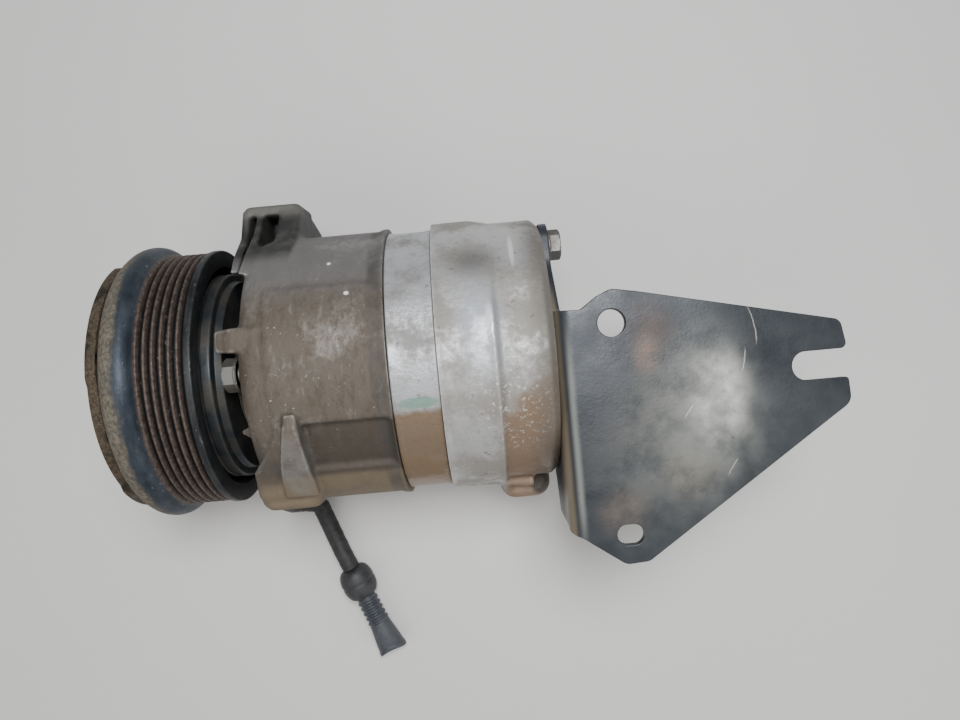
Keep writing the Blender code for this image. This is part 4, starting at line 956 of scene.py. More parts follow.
@dataclass(frozen=True)
class SheetFinish:
    """The bracket's sheet steel: dark blue-grey, painted highlights on the middle and bend, scratches and
    spots of rust.
    """

    name: str
    steel: tuple[float, float, float] = (0.024, 0.029, 0.036)
    # The first three rows are a painted highlight, the lamp's reflection on the middle of the plate; the rest
    # are stains.
    stains_and_highlight: tuple[tuple[Triple, Triple, float, Triple], ...] = (
        ((0.080, -0.042, 0.052), (0.052, 0.056, 0.03), 0.60, (0.165, 0.165, 0.148)),
        ((0.097, -0.032, 0.052), (0.032, 0.048, 0.03), 0.75, (0.27, 0.28, 0.26)),
        ((0.1015, -0.027, 0.052), (0.017, 0.028, 0.03), 0.90, (0.68, 0.69, 0.63)),
        ((0.050, -0.010, 0.052), (0.020, 0.050, 0.03), 0.55, (0.040, 0.044, 0.056)),
        ((0.074, 0.004, 0.052), (0.016, 0.018, 0.02), 0.60, (0.085, 0.060, 0.050)),
        ((0.0715, -0.007, 0.052), (0.009, 0.012, 0.02), 0.65, (0.21, 0.14, 0.10)),
        ((0.056, -0.074, 0.052), (0.016, 0.016, 0.02), 0.55, (0.19, 0.145, 0.11)),
        ((0.086, -0.060, 0.052), (0.018, 0.014, 0.02), 0.50, (0.25, 0.22, 0.17)),
        ((0.060, 0.009, 0.052), (0.016, 0.018, 0.02), 0.60, (0.034, 0.036, 0.044)),
        ((0.138, -0.020, 0.052), (0.030, 0.030, 0.03), 0.60, (0.045, 0.050, 0.058)),
    )
    arcs: tuple[tuple[float, float, float, tuple[float, float], float], ...] = (
        (0.0960, -0.0020, 0.0230, (0.1185, 0.0020), 0.0100),
        (0.0850, -0.0080, 0.0285, (0.1130, -0.0130), 0.0060),
        (0.0700, -0.0200, 0.0220, (0.0880, -0.0330), 0.0045),
        (0.1200, -0.0700, 0.0200, (0.1040, -0.0580), 0.0050),
    )

    def build(self) -> bpy.types.Material:
        """Layers, from the steel up: cloudy rubbing, a painted highlight with brown and dark stains, the
        bend's painted highlight, scratches and pits.
        """
        graph = Graph(self.name)
        cloud = graph.noise(22.0, 5.0, 0.5, shift=1.5)
        mottle = graph.noise(70.0, 5.0, 0.55, shift=4.2)
        fine = graph.noise(700.0, 4.0, 0.6)
        colour = graph.mix(graph.span(cloud, 0.35, 0.65), self.steel, (0.050, 0.057, 0.064))
        for centre, size, share, tint in self.stains_and_highlight:
            soft = graph.plus(graph.times(graph.span(mottle, 0.30, 0.66), 0.6), 0.4)
            patch = graph.times(graph.blob(centre, size, 0.95), soft)
            colour = graph.mix(graph.times(patch, share), colour, tint)
        # Painted highlight: a pale strip along the lower half of the bend.
        bend = graph.times(
            graph.between(graph.along, 0.0372, 0.0388, 0.0032),
            graph.between(graph.across, -0.080, 0.0, 0.030),
        )
        colour = graph.stain(colour, bend, 0.6, (0.40, 0.42, 0.39))
        corner = graph.times(graph.span(graph.along, 0.0362, 0.0340), graph.span(graph.height, 0.030, 0.044))
        colour = graph.stain(colour, corner, 0.8, (0.24, 0.20, 0.14))
        scratches: list[Socket] = []
        for x, y, radius, place, size in self.arcs:
            reach = graph.less(graph.along, x)
            rise = graph.less(graph.across, y)
            wobble = graph.times(graph.less(mottle, 0.5), 0.004)
            away = graph.plus(graph.away(reach, rise), wobble)
            line = graph.between(away, radius - 0.0002, radius + 0.0002, 0.0005)
            gate = graph.blob((*place, 0.052), (size, size, 0.01), 0.5)
            scratches.append(graph.times(line, gate))
        marks = scratches[0]
        for scratch in scratches[1:]:
            marks = graph.calc("MAXIMUM", marks, scratch)
        colour = graph.stain(colour, marks, 0.6, (0.45, 0.43, 0.36))
        pit = graph.span(graph.noise(300.0, 4.0, 0.7, shift=8.0), 0.63, 0.72)
        colour = graph.stain(colour, pit, 0.5, (0.040, 0.040, 0.042))
        rough = graph.span(mottle, 0.3, 0.7, 0.34, 0.52)
        relief = graph.plus(graph.times(fine, 0.5), graph.times(mottle, 0.6))
        relief = graph.less(relief, graph.times(marks, 0.5))
        wave = graph.bump(cloud, 0.0012, 0.35)
        return graph.finish(colour, rough, 0.35, graph.bump(relief, 0.00025, 0.5, wave))


@dataclass(frozen=True)
class SoftFinish:
    """Rubber, sleeving or gasket fibre: matt, with dust on it and a fine grain."""

    name: str
    colour: tuple[float, float, float]
    dust: tuple[float, float, float] = (0.16, 0.15, 0.13)
    amount: float = 0.35
    rough: float = 0.62
    grain: float = 1800.0
    shift: float = 0.0

    def build(self) -> bpy.types.Material:
        """Dust gathers in cloudy patches over the grain."""
        graph = Graph(self.name)
        cloud = graph.noise(120.0, 6.0, 0.65, shift=self.shift)
        fine = graph.noise(self.grain, 3.0, 0.6)
        share = graph.times(graph.span(graph.plus(cloud, graph.times(fine, 0.2)), 0.5, 0.75), self.amount)
        colour = graph.mix(share, self.colour, self.dust)
        rough = graph.span(cloud, 0.3, 0.7, self.rough - 0.08, min(1.0, self.rough + 0.15))
        return graph.finish(colour, rough, 0.0, graph.bump(graph.plus(fine, cloud), 0.0003, 0.5))


MACHINED = MetalFinish("machined_aluminium", (0.62, 0.62, 0.61), (0.36, 0.33, 0.28), 0.32, 0.4, 0.5)
BRIGHT = MetalFinish("bright_steel", (0.56, 0.56, 0.57), (0.28, 0.25, 0.21), 0.26, 0.3, 0.4)
ZINC = MetalFinish("zinc_steel", (0.17, 0.165, 0.155), (0.085, 0.070, 0.052), 0.48, 0.8, 0.3, 0.7)
COIL_STEEL = MetalFinish(
    "coil_case_steel", (0.042, 0.049, 0.055), (0.095, 0.083, 0.066), 0.45, 0.6, 0.3, 0.75
)
BRASS = MetalFinish("brass", (0.55, 0.42, 0.20), (0.25, 0.19, 0.11), 0.34, 0.5, 0.4)
COPPER = MetalFinish("copper_winding", (0.50, 0.22, 0.10), (0.22, 0.09, 0.04), 0.35, 0.4, 0.9)
RUST = RustFinish("rusty_armature")
RUBBER = SoftFinish("black_rubber", (0.022, 0.023, 0.026), (0.075, 0.075, 0.078), 0.3, 0.50)
SLEEVE = SoftFinish("lead_sleeve", (0.014, 0.014, 0.015), (0.060, 0.062, 0.062), 0.40, 0.55, 2600.0, 3.0)
BOOT_RUBBER = SoftFinish("boot_rubber", (0.038, 0.044, 0.056), (0.095, 0.100, 0.110), 0.40, 0.45, 1500.0, 6.0)
GASKET = SoftFinish("gasket_fibre", (0.045, 0.055, 0.055), (0.12, 0.12, 0.11), 0.3, 0.75)

# Sub-assemblies


@dataclass
class Studio:
    """Pale floor, soft lights, and the camera that looks straight down on the compressor."""

    camera_height: float = 0.376
    lens: float = 28.2
    roll: float = math.radians(-5.15)
    shift: float = -0.0071
    floor_side: float = 3.0
    sky: tuple[float, float, float, float] = (0.80, 0.84, 0.90, 1.0)
    sky_strength: float = 0.22
    lamps: tuple[tuple[str, tuple[float, float, float], float, float, float], ...] = (
        ("key", (0.06, 0.20, 0.80), 0.30, 8.0, 0.0),
        ("fill", (-0.50, -0.40, 0.65), 0.80, 2.6, 0.12),
        ("rim", (0.50, -0.55, 0.40), 0.60, 2.2, 0.05),
    )

    def lamp(self, name: str, place: Sequence[float], size: float, power: float, warmth: float) -> None:
        """Square area light at a station, aimed at the compressor's middle."""
        light = bpy.data.lights.new(name, "AREA")
        light.size = size
        light.energy = power
        light.color = (1.0, 1.0 - warmth * 0.4, 1.0 - warmth)
        obj = bpy.data.objects.new(name, light)
        obj.location = Vector(np.array(place) + ORIGIN)
        obj.rotation_euler = (Vector(ORIGIN) - obj.location).to_track_quat("-Z", "Y").to_euler()
        bpy.context.scene.collection.objects.link(obj)

    def build(self) -> None:
        """Camera, floor, sky and lamps."""
        camera = bpy.data.objects.new("camera", bpy.data.cameras.new("camera"))
        camera.data.lens = self.lens
        camera.data.shift_y = self.shift
        camera.data.clip_start = 0.01
        camera.location = Vector(ORIGIN + np.array([0.0, 0.0, self.camera_height]))
        camera.rotation_euler = (0.0, 0.0, self.roll)
        bpy.context.scene.collection.objects.link(camera)
        bpy.context.scene.camera = camera

        side = self.floor_side / 2
        mesh = bpy.data.meshes.new("floor")
        mesh.from_pydata(
            [(-side, -side, 0), (side, -side, 0), (side, side, 0), (-side, side, 0)], [], [(0, 1, 2, 3)]
        )
        floor = bpy.data.objects.new("floor", mesh)
        bpy.context.scene.collection.objects.link(floor)
        graph = Graph("floor_paint")
        cloud = graph.noise(6.0, 3.0, 0.5)
        mesh.materials.append(
            graph.finish(graph.mix(cloud, (0.66, 0.66, 0.65), (0.70, 0.70, 0.69)), 0.7, 0.0, None)
        )

        world = bpy.data.worlds.new("studio")
        world.use_nodes = True
        background = world.node_tree.nodes["Background"]
        background.inputs["Color"].default_value = self.sky
        background.inputs["Strength"].default_value = self.sky_strength
        bpy.context.scene.world = world
        for lamp in self.lamps:
            self.lamp(*lamp)


@dataclass
class CoilLead:
    """The coil's lead in its sleeve, with socket, grommet and the boot of its connector."""

    radius: float = 0.005
    route: tuple[tuple[float, float, float], ...] = (
        (-0.1113, -0.0570, -0.0207),
        (-0.1114, -0.0632, -0.0232),
        (-0.1113, -0.0690, -0.0285),
        (-0.1106, -0.0727, -0.0370),
        (-0.1090, -0.0747, -0.0465),
        (-0.1058, -0.0767, -0.0558),
        (-0.1010, -0.0797, -0.0622),
        (-0.0988, -0.0860, -0.0645),
        (-0.0958, -0.0938, -0.0643),
        (-0.0922, -0.1018, -0.0620),
        (-0.0886, -0.1095, -0.0598),
        (-0.0855, -0.1172, -0.0600),
    )
    grommet_r: float = 0.0098
    grommet_length: float = 0.01764
    boot_length: float = 0.036
    boot_r: float = 0.0056
    mouth_r: float = 0.0078
    boot_wall: float = 0.0018
    boot_depth: float = 0.014
    socket_turn: float = math.radians(200)
    socket_reach: float = 0.0531

    def along_end(
        self, profile: Array, start: float, around: int, wave: float = 0.0, loop: bool = False
    ) -> Solid:
        """Turned shape on the lead's last direction: its rings stand square to it, from start past the end.

        Args:
            profile: Points (distance, radius).
            start: Distance of its first point past the lead's end.
            around: Points round it.
            wave: How far the mouth's rim rises and falls, as a cosine of twice the turn.
            loop: True for an outline that closes on itself.

        Returns:
            The solid.
        """
        path = through(np.array(self.route), 2)
        ahead = unit(path[-1] - path[-2])
        side = unit(np.cross(ahead, (0.0, 0.0, 1.0)))
        up = np.cross(side, ahead)
        turn = np.linspace(0.0, FULL_TURN, around, endpoint=False)[None, :, None]
        distance, radius = profile[:, 0, None, None] + start, profile[:, 1, None, None]
        share = smooth((profile[:, 0] / self.boot_length - 0.55) / 0.45)[:, None, None]
        distance = distance + wave * share * (np.cos(2 * turn) - 1)
        flat = 1 - 0.10 * share * (wave > 0) * np.abs(np.sin(turn))
        rings = path[-1] + distance * ahead + radius * (np.cos(turn) * side + flat * np.sin(turn) * up)
        return skin(rings, loop)

    def sleeve(self) -> Thing:
        """Sleeve over the wires: a tube whose radius carries a shallow helical wrap and soft creases."""
        path = through(np.array(self.route), 16)
        travelled = np.concatenate([[0.0], np.cumsum(np.linalg.norm(np.diff(path, axis=0), axis=1))])
        turn = np.linspace(0.0, FULL_TURN, 32, endpoint=False)
        wrap = np.abs(np.mod(travelled[:, None] / 0.0065 - turn / FULL_TURN, 1.0) - 0.5) * 2
        crease = np.sin(
            travelled[:, None] * 900 + 2.0 * np.sin(turn)
        ) * np.sin(turn * 3 + travelled[:, None] * 160)
        radius = self.radius * (0.985 + 0.030 * smooth((wrap - 0.80) / 0.12) + 0.010 * crease)
        obj = shade(new_object("coil_lead_sleeve", [tube(path, radius, np.array([1.0, 0.0, 0.0]), 32)]), 50)
        fit(obj, SLEEVE.build(), "lead_sleeve", "housing", "coil_lead")
        self.length = float(travelled[-1])
        self.path = path + ORIGIN
        return obj

    def grommet(self) -> Thing:
        """Rubber ball on the lead, with a moulding groove round its middle."""
        turn = np.linspace(0.04, math.pi - 0.04, 40)
        bulge = np.sin(turn) ** 0.8
        groove = 0.0005 * np.exp(-(((turn - math.pi / 2) / 0.07) ** 2))
        radius = self.radius + 0.0002 + (self.grommet_r - self.radius - 0.0002) * bulge - groove
        profile = np.stack([self.grommet_length / 2 * (1 - np.cos(turn)), radius], -1)
        obj = shade(new_object("lead_grommet_ball", [self.along_end(profile, FIT, 64)]), 50)
        return fit(obj, RUBBER.build(), "black_rubber", "housing", "lead_grommet")

    def boot(self) -> Thing:
        """Connector boot: a ribbed neck that flares to a wavy open mouth, with the terminal block inside."""
        length, start = self.boot_length, FIT + self.grommet_length + FIT
        s = np.linspace(0.0, length, 150)
        neck = smooth(s / 0.0015)
        ribs = 0.00055 * np.cos(s / 0.0032 * FULL_TURN) * window(s, 0.0015, 0.017, 0.002)
        flare = (self.mouth_r - self.boot_r) * smooth((s / length - 0.35) / 0.65)
        lip = 0.0004 * window(s, length - 0.0022, length + 0.01, 0.0008)
        outside = np.stack([s, (self.boot_r - 0.0008) + 0.0008 * neck + ribs + flare + lip], -1)
        inner = self.mouth_r - self.boot_wall
        inside = np.array(
            [(length, inner), (length - 0.004, inner - 0.0004), (length - self.boot_depth, inner - 0.001)]
        )
        profile = np.vstack([outside, inside])
        boot = self.along_end(profile, start, 72, 0.0012)
        obj = shade(new_object("lead_connector_boot", [boot]), 50)
        fit(obj, BOOT_RUBBER.build(), "lead_sleeve", "housing", "lead_connector")
        plug = np.array(
            [
                (length - 0.0135, 0.0034),
                (length - 0.0128, 0.0040),
                (length - 0.0060, 0.0040),
                (length - 0.0054, 0.0034),
            ]
        )
        core = shade(new_object("connector_terminal", [self.along_end(plug, start, 36)]), 35)
        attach(core, "housing")
        core.data.materials.append(BRASS.build())
        return obj

    def socket(self) -> None:
        """Moulded socket behind the coil that the lead comes out of."""
        y, h = polar(self.socket_reach, self.socket_turn)
        cos, sin = polar(1.0, self.socket_turn)
        body = pillow(Axis.ACROSS, (-0.0066, 0.0066, -0.0053, 0.0053, -0.0053, 0.0053), 0.0018, 0.0012)
        x, out, up = body.points.T
        points = np.stack([x + self.route[0][0], y + out * cos - up * sin, h + out * sin + up * cos], -1)
        obj = shade(new_object("lead_socket_moulding", [Solid(points, body.quads, body.fans).outward()]), 40)
        fit(obj, RUBBER.build(), "black_rubber", "housing", "lead_socket")

    def build(self) -> None:
        """All pieces of the lead."""
        sleeve, ball, boot = self.sleeve(), self.grommet(), self.boot()
        self.socket()


@dataclass
class Pulley:
    """The belt pulley: crowned rim, six belt grooves, rear lip and the hollow that the coil sits in."""

    face_x: float = field(default_factory=lambda: station("pulley", 0))
    rear_x: float = field(default_factory=lambda: station("pulley", 1))
    crown_length: float = 0.0158
    crown: tuple[tuple[float, float], ...] = (
        (0.0, 0.0592), (
            0.0006, 0.0606
        ), (0.0022, 0.0629), (0.0055, 0.0652), (0.0088, 0.0660), (0.0118, 0.0656), (0.0140, 0.0642),
        (0.0154, 0.0624),
    )
    groove_top_r: float = 0.0612
    groove_depth: float = 0.0029
    pitch: float = 0.00356
    grooves: int = 6
    lip_length: float = 0.0032
    rim_inner_r: float = 0.0515
    web_x: float = -0.1560
    hub_r: float = 0.0340
    bore_r: float = 0.0300
    hub_end_x: float = -0.1293
    slots: int = 6
    slot_r: float = 0.0455
    slot_half_width: float = 0.0014
    slot_half_depth: float = 0.004
    slot_half_sweep: float = 0.36
    dust_length: float = 0.0078

    def rim(self) -> Array:
        """Outside of the rim from front to rear: a curve through the crown, then a wave of grooves."""
        crown = np.array([(x, r, 0.0) for x, r in self.crown])
        curve = through(crown, 6)[:, :2] + (self.face_x, 0.0)
        start = self.face_x + self.crown_length + 0.0005
        phase = np.linspace(0.0, self.grooves, self.grooves * 24 + 1)
        wave = np.abs(np.mod(phase, 1.0) - 0.5) * 2
        depth = self.groove_depth * smooth((0.86 - wave) / 0.86 * 1.02)
        belt = np.stack([start + self.pitch * phase, self.groove_top_r - depth], -1)
        lip = rounded(
            [
                (self.rear_x - self.lip_length, self.groove_top_r - 0.0022, 0.0001),
                (self.rear_x - self.lip_length, self.groove_top_r + 0.0008, 0.0005),
                (self.rear_x, self.groove_top_r + 0.0008, 0.0008),
                (self.rear_x, self.rim_inner_r, 0.0005),
            ],
            4,
        )
        return np.vstack([curve, [(start - 0.0002, self.groove_top_r + 0.0002)], belt, lip])

    def slot(self, k: int) -> Solid:
        """Curved bar that cuts a slot: a square section swept round the shaft."""
        middle = FULL_TURN * (k + 0.5) / self.slots
        sweep = np.linspace(middle - self.slot_half_sweep, middle + self.slot_half_sweep, 20)
        side = np.stack([np.zeros(20), np.cos(sweep), np.sin(sweep)], -1)
        corners = np.array([(-1, -1), (1, -1), (1, 1), (-1, 1)], float)
        rings = (self.slot_r + corners[None, :, 1:2] * self.slot_half_width) * side[:, None]
        rings[..., 0] = (self.face_x + self.web_x) / 2 + corners[None, :, 0] * self.slot_half_depth
        return skin(rings)

    def build(self) -> None:
        """The pulley, with curved slots cut through its friction face."""
        inside = rounded(
            [
                (self.web_x, self.rim_inner_r, 0.0015),
                (self.web_x, self.hub_r, 0.0015),
                (self.hub_end_x, self.hub_r, 0.0006),
                (self.hub_end_x, self.bore_r, 0.0005),
                (self.face_x, self.bore_r, 0.0006),
            ],
            4,
        )
        obj = new_object("pulley_turned", [turned(np.vstack([self.rim(), inside]), 200, loop=True)])
        combine(obj, "DIFFERENCE", [self.slot(k) for k in range(self.slots)])
        crown_x, lip_x = self.face_x + self.dust_length, self.rear_x - self.lip_length
        finish = PulleyFinish("worn_pulley_steel", crown_x, self.face_x + self.crown_length, lip_x)
        fit(shade(obj, 40), finish.build(), "pulley_steel", "pulley", "pulley")


@dataclass
class Clutch:
    """Armature with its leaf springs and rivets, hub, nut, coil and bearing."""

    armature_x: float = field(default_factory=lambda: station("armature_plate", 0))
    armature_end_x: float = field(default_factory=lambda: station("armature_plate", 1))
    armature_r: float = 0.0585
    lobe: float = 0.0015
    leaf_inner_r: float = 0.019
    leaf_outer_r: float = 0.047
    leaf_sweep: float = math.radians(55)
    leaf_width: float = 0.013
    leaf_slimness: float = 0.84
    leaves: int = 3
    balls: int = 22
    ball: float = 0.0011
    row_reach: float = 0.0040

    def leaf_ends(self, k: int) -> tuple[Array, Array]:
        """(y, h) of a leaf's rivets: on the hub's flange, and on the armature a sweep further round."""
        turn = FULL_TURN * k / self.leaves
        inner = self.leaf_inner_r * np.array([math.cos(turn), math.sin(turn)])
        turn += self.leaf_sweep
        return inner, self.leaf_outer_r * np.array([math.cos(turn), math.sin(turn)])

    def armature(self) -> None:
        """Plate with three shallow lobes: its outer radius swells as a window of the turn at each rivet."""
        around = 240
        turn = np.linspace(0.0, FULL_TURN, around, endpoint=False)
        third = FULL_TURN / self.leaves
        place = np.mod(turn - self.leaf_sweep + third / 2, third) - third / 2
        swell = self.lobe * window(np.degrees(place), -33.0, 33.0, 5.0)
        x1, x2 = self.armature_x, self.armature_end_x
        profile = rounded(
            [
                (x1, 0.0305, 0.0005),
                (x1, self.armature_r, 0.0009),
                (x2, self.armature_r, 0.0006),
                (x2, 0.0305, 0.0005),
            ],
            4,
        )
        radius = profile[:, 1:2] + swell[None] * smooth((profile[:, 1:2] - 0.045) / 0.012)
        x = np.broadcast_to(profile[:, :1], radius.shape)
        plate = skin(np.stack([x, radius * np.cos(turn), radius * np.sin(turn)], -1), True)
        obj = new_object("armature_plate_lobed", [plate])
        fit(shade(obj, 35), RUST.build(), "rusty_steel", "armature", "armature_plate")

    def leaf(self, k: int) -> None:
        """Leaf spring: a strip with round ends, and a domed rivet at its outer end; the hub holds the one at
        its inner end.
        """
        name = f"armature_spring_{k + 1}"
        x1, x2 = ends(name)
        inner, outer = self.leaf_ends(k)
        along = unit((outer - inner)[None])[0]
        side = np.array([-along[1], along[0]])
        half, reach = self.leaf_width / 2, np.linalg.norm(outer - inner) / 2
        turn = np.linspace(0.0, FULL_TURN, 48, endpoint=False) + 1e-4
        a = np.sign(np.cos(turn)) * reach + half * np.cos(turn)
        b = half * np.sin(turn) * self.leaf_slimness
        middle = (inner + outer) / 2
        outline = middle + a[:, None] * along + b[:, None] * side
        levels = np.array([(x1, 0.975), (x1 + 0.0002, 1.0), (x2 - 0.0002, 1.0), (x2, 0.975)])
        rings = np.empty((4, 48, 3))
        rings[..., 0] = levels[:, :1]
        rings[..., 1:] = middle + (outline - middle) * levels[:, 1:, None]
        make(name, [skin(rings), rivet(x1, 0.0013, outer)], BRIGHT.build(), "bright_steel", "armature")

    def hub(self) -> None:
        """Hub on the shaft: flange with rivets, sleeve, and the nut with its washer face."""
        x1, x2 = ends("clutch_hub")
        profile = rounded(
            [
                (x1 + 0.0004, 0.0064, 0.0003),
                (x1, 0.0100, 0.0004),
                (x1, 0.0270, 0.0006),
                (x1 + 0.0030, 0.0270, 0.0006),
                (x1 + 0.0030, 0.0110, 0.0010),
                (x2, 0.0110, 0.0006),
                (x2, 0.0064, 0.0004),
            ],
            4,
        )
        solids = [turned(profile, 128, loop=True)]
        solids += [rivet(x1, 0.0011, self.leaf_ends(k)[0]) for k in range(self.leaves)]
        make("clutch_hub", solids, ZINC.build(), "zinc_steel", "shaft")
        n1, n2 = ends("shaft_nut")
        nut = new_object("shaft_nut_detail", [hex_solid(n1, n2, 0.0130, 0.0, 0.0, 0)])
        combine(nut, "DIFFERENCE", [rod(n1 - 0.002, n2 + 0.002, 0.0043)])
        fit(shade(nut, 30), ZINC.build(), "zinc_steel", "shaft", "shaft_nut")

    def coil(self) -> None:
        """Coil case with its plate and the potted winding in its open front."""
        x1, x2 = ends("coil_shell")
        plate_x = x2 - 0.0037
        inner = 0.0355
        profile = rounded(
            [
                (x1, 0.0500, 0.0006),
                (plate_x - 0.0060, 0.0500, 0.0002),
                (plate_x - 0.0056, 0.0494, 0.0002),
                (plate_x - 0.0048, 0.0494, 0.0002),
                (plate_x - 0.0044, 0.0500, 0.0002),
                (plate_x, 0.0500, 0.0012),
                (plate_x, 0.0460, 0.0008),
                (x2, 0.0460, 0.0007),
                (x2, 0.0220, 0.0004),
                (plate_x, 0.0220, 0.0004),
                (plate_x, inner, 0.0008),
                (x1, inner, 0.0004),
                (x1, inner + 0.003, 0.0004),
                (plate_x - 0.003, inner + 0.003, 0.0006),
                (plate_x - 0.003, 0.0470, 0.0006),
                (x1, 0.0470, 0.0004),
            ],
            4,
        )
        case = new_object("coil_shell_turned", [turned(profile, 160, loop=True)])
        notch = [(h, -0.1225, -0.1190, 0.005, 0.016, 0.001) for h in (0.0478, 0.056)]
        combine(case, "DIFFERENCE", [loft(Axis.UP, notch, 2)])
        fit(shade(case, 35), COIL_STEEL.build(), "pulley_steel", "housing", "coil_shell")
        w1, w2 = ends("coil_winding")
        turns = np.linspace(w1 + 0.0006, w2 - 0.0006, 400)
        outer = 0.0465 - 0.0002 * np.abs(np.sin(turns / 0.0011 * math.pi))
        winding = np.vstack(
            [
                np.stack([turns, outer], -1),
                [(w2, 0.0462), (w2, inner + 0.0036), (w1, inner + 0.0036), (w1, 0.0462)],
            ]
        )
        make("coil_winding", [turned(winding, 96, loop=True)], COPPER.build(), "copper", "housing")

    def bearing(self) -> None:
        """Double-row ball bearing: grooved races, balls and a cage band between the rows."""
        x1, x2 = ends("bearing_inner_race")
        middle = (x1 + x2) / 2
        inner_r, ball_r, outer_r = 0.0235, 0.0250, 0.0265
        make(
            "bearing_inner_race",
            [ring(x1, x2, 0.0203, inner_r, 0.0004)],
            BRIGHT.build(),
            "bright_steel",
            "housing",
        )
        make(
            "bearing_outer_race",
            [ring(x1, x2, outer_r, 0.0297, 0.0004)],
            BRIGHT.build(),
            "bright_steel",
            "pulley",
        )
        turn = np.linspace(0.0, math.pi, 13)[1:-1]
        solids = [ring(middle - 0.0065, middle + 0.0065, ball_r - 0.0004, ball_r + 0.0004, 0.0001, 96)]
        for row, start in ((-self.row_reach, 0.0), (self.row_reach, 0.5)):
            profile = np.stack([middle + row - self.ball * np.cos(turn), self.ball * np.sin(turn)], -1)
            for k in range(self.balls):
                solids.append(turned(profile, 14, *polar(ball_r, FULL_TURN * (k + start) / self.balls)))
        make("bearing_ball_ring", solids, BRIGHT.build(), "bright_steel", "housing", 60)

    def build(self) -> None:
        """All of the clutch but the pulley."""
        self.armature()
        for k in range(self.leaves):
            self.leaf(k)
        self.hub()
        self.coil()
        self.bearing()


@dataclass
class Ear:
    """A mounting ear: the outline of its column, its hole, and its flat face on the floor plane."""

    x: tuple[float, float]
    y: tuple[float, float]
    hole: tuple[float, float]
    top: float
    hole_r: float = 0.0052
    hole_depth: float = 0.024

    def column(self, top: float, corner: float = 0.0065, taper: float = 0.0) -> Solid:
        """Column from under the floor plane to top, narrower by taper below, its upper edge rounded."""
        low = FLOOR_H - 0.0015
        rows = [
            (low, self.x[0] + taper / 3, self.x[1] - taper, *self.y, corner),
            (top - 0.004, *self.x, *self.y, corner),
        ]
        for share in (0.3, 0.7, 1.0):
            draw = 0.003 * (1 - math.sqrt(1 - share**2))
            rows.append(
                (
                    top - 0.004 + 0.004 * share,
                    self.x[0] + draw,
                    self.x[1] - draw,
                    self.y[0] + draw,
                    self.y[1] - draw,
                    corner - draw,
                )
            )
        return loft(Axis.UP, rows, 12)

    def face_cut(self) -> Solid:
        """What the mill takes off below the ear's face."""
        margin = 0.01
        sides = (self.x[0] - margin, self.x[1] + margin, self.y[0] - margin, self.y[1] + margin)
        return loft(Axis.UP, [(h, *sides, 0.001) for h in (FLOOR_H - 0.01, FLOOR_H)], 2)

    def hole_cut(self) -> Solid:
        """The hole from below, with a chamfer at its mouth."""
        r, bottom = self.hole_r, FLOOR_H
        profile = np.array(
            [
                (bottom - 0.002, r + 0.0030),
                (bottom + 0.0008, r),
                (bottom + self.hole_depth, r),
                (bottom + self.hole_depth + 0.0025, 0.0006),
            ]
        )
        return swung(turned(profile, 48), Axis.UP, np.array([self.hole[0], self.hole[1], 0.0]))


UPPER_EAR = Ear((-0.111, -0.0815), (0.040, 0.0830), (-0.096, 0.070), 0.005)
LOWER_EAR = Ear((-0.1055, -0.0785), (-0.0635, -0.036), (-0.092, -0.0515), 0.035)
REAR_EAR = Ear((0.0045, 0.0295), (-0.0745, -0.040), (0.0184, -0.061), -0.002)


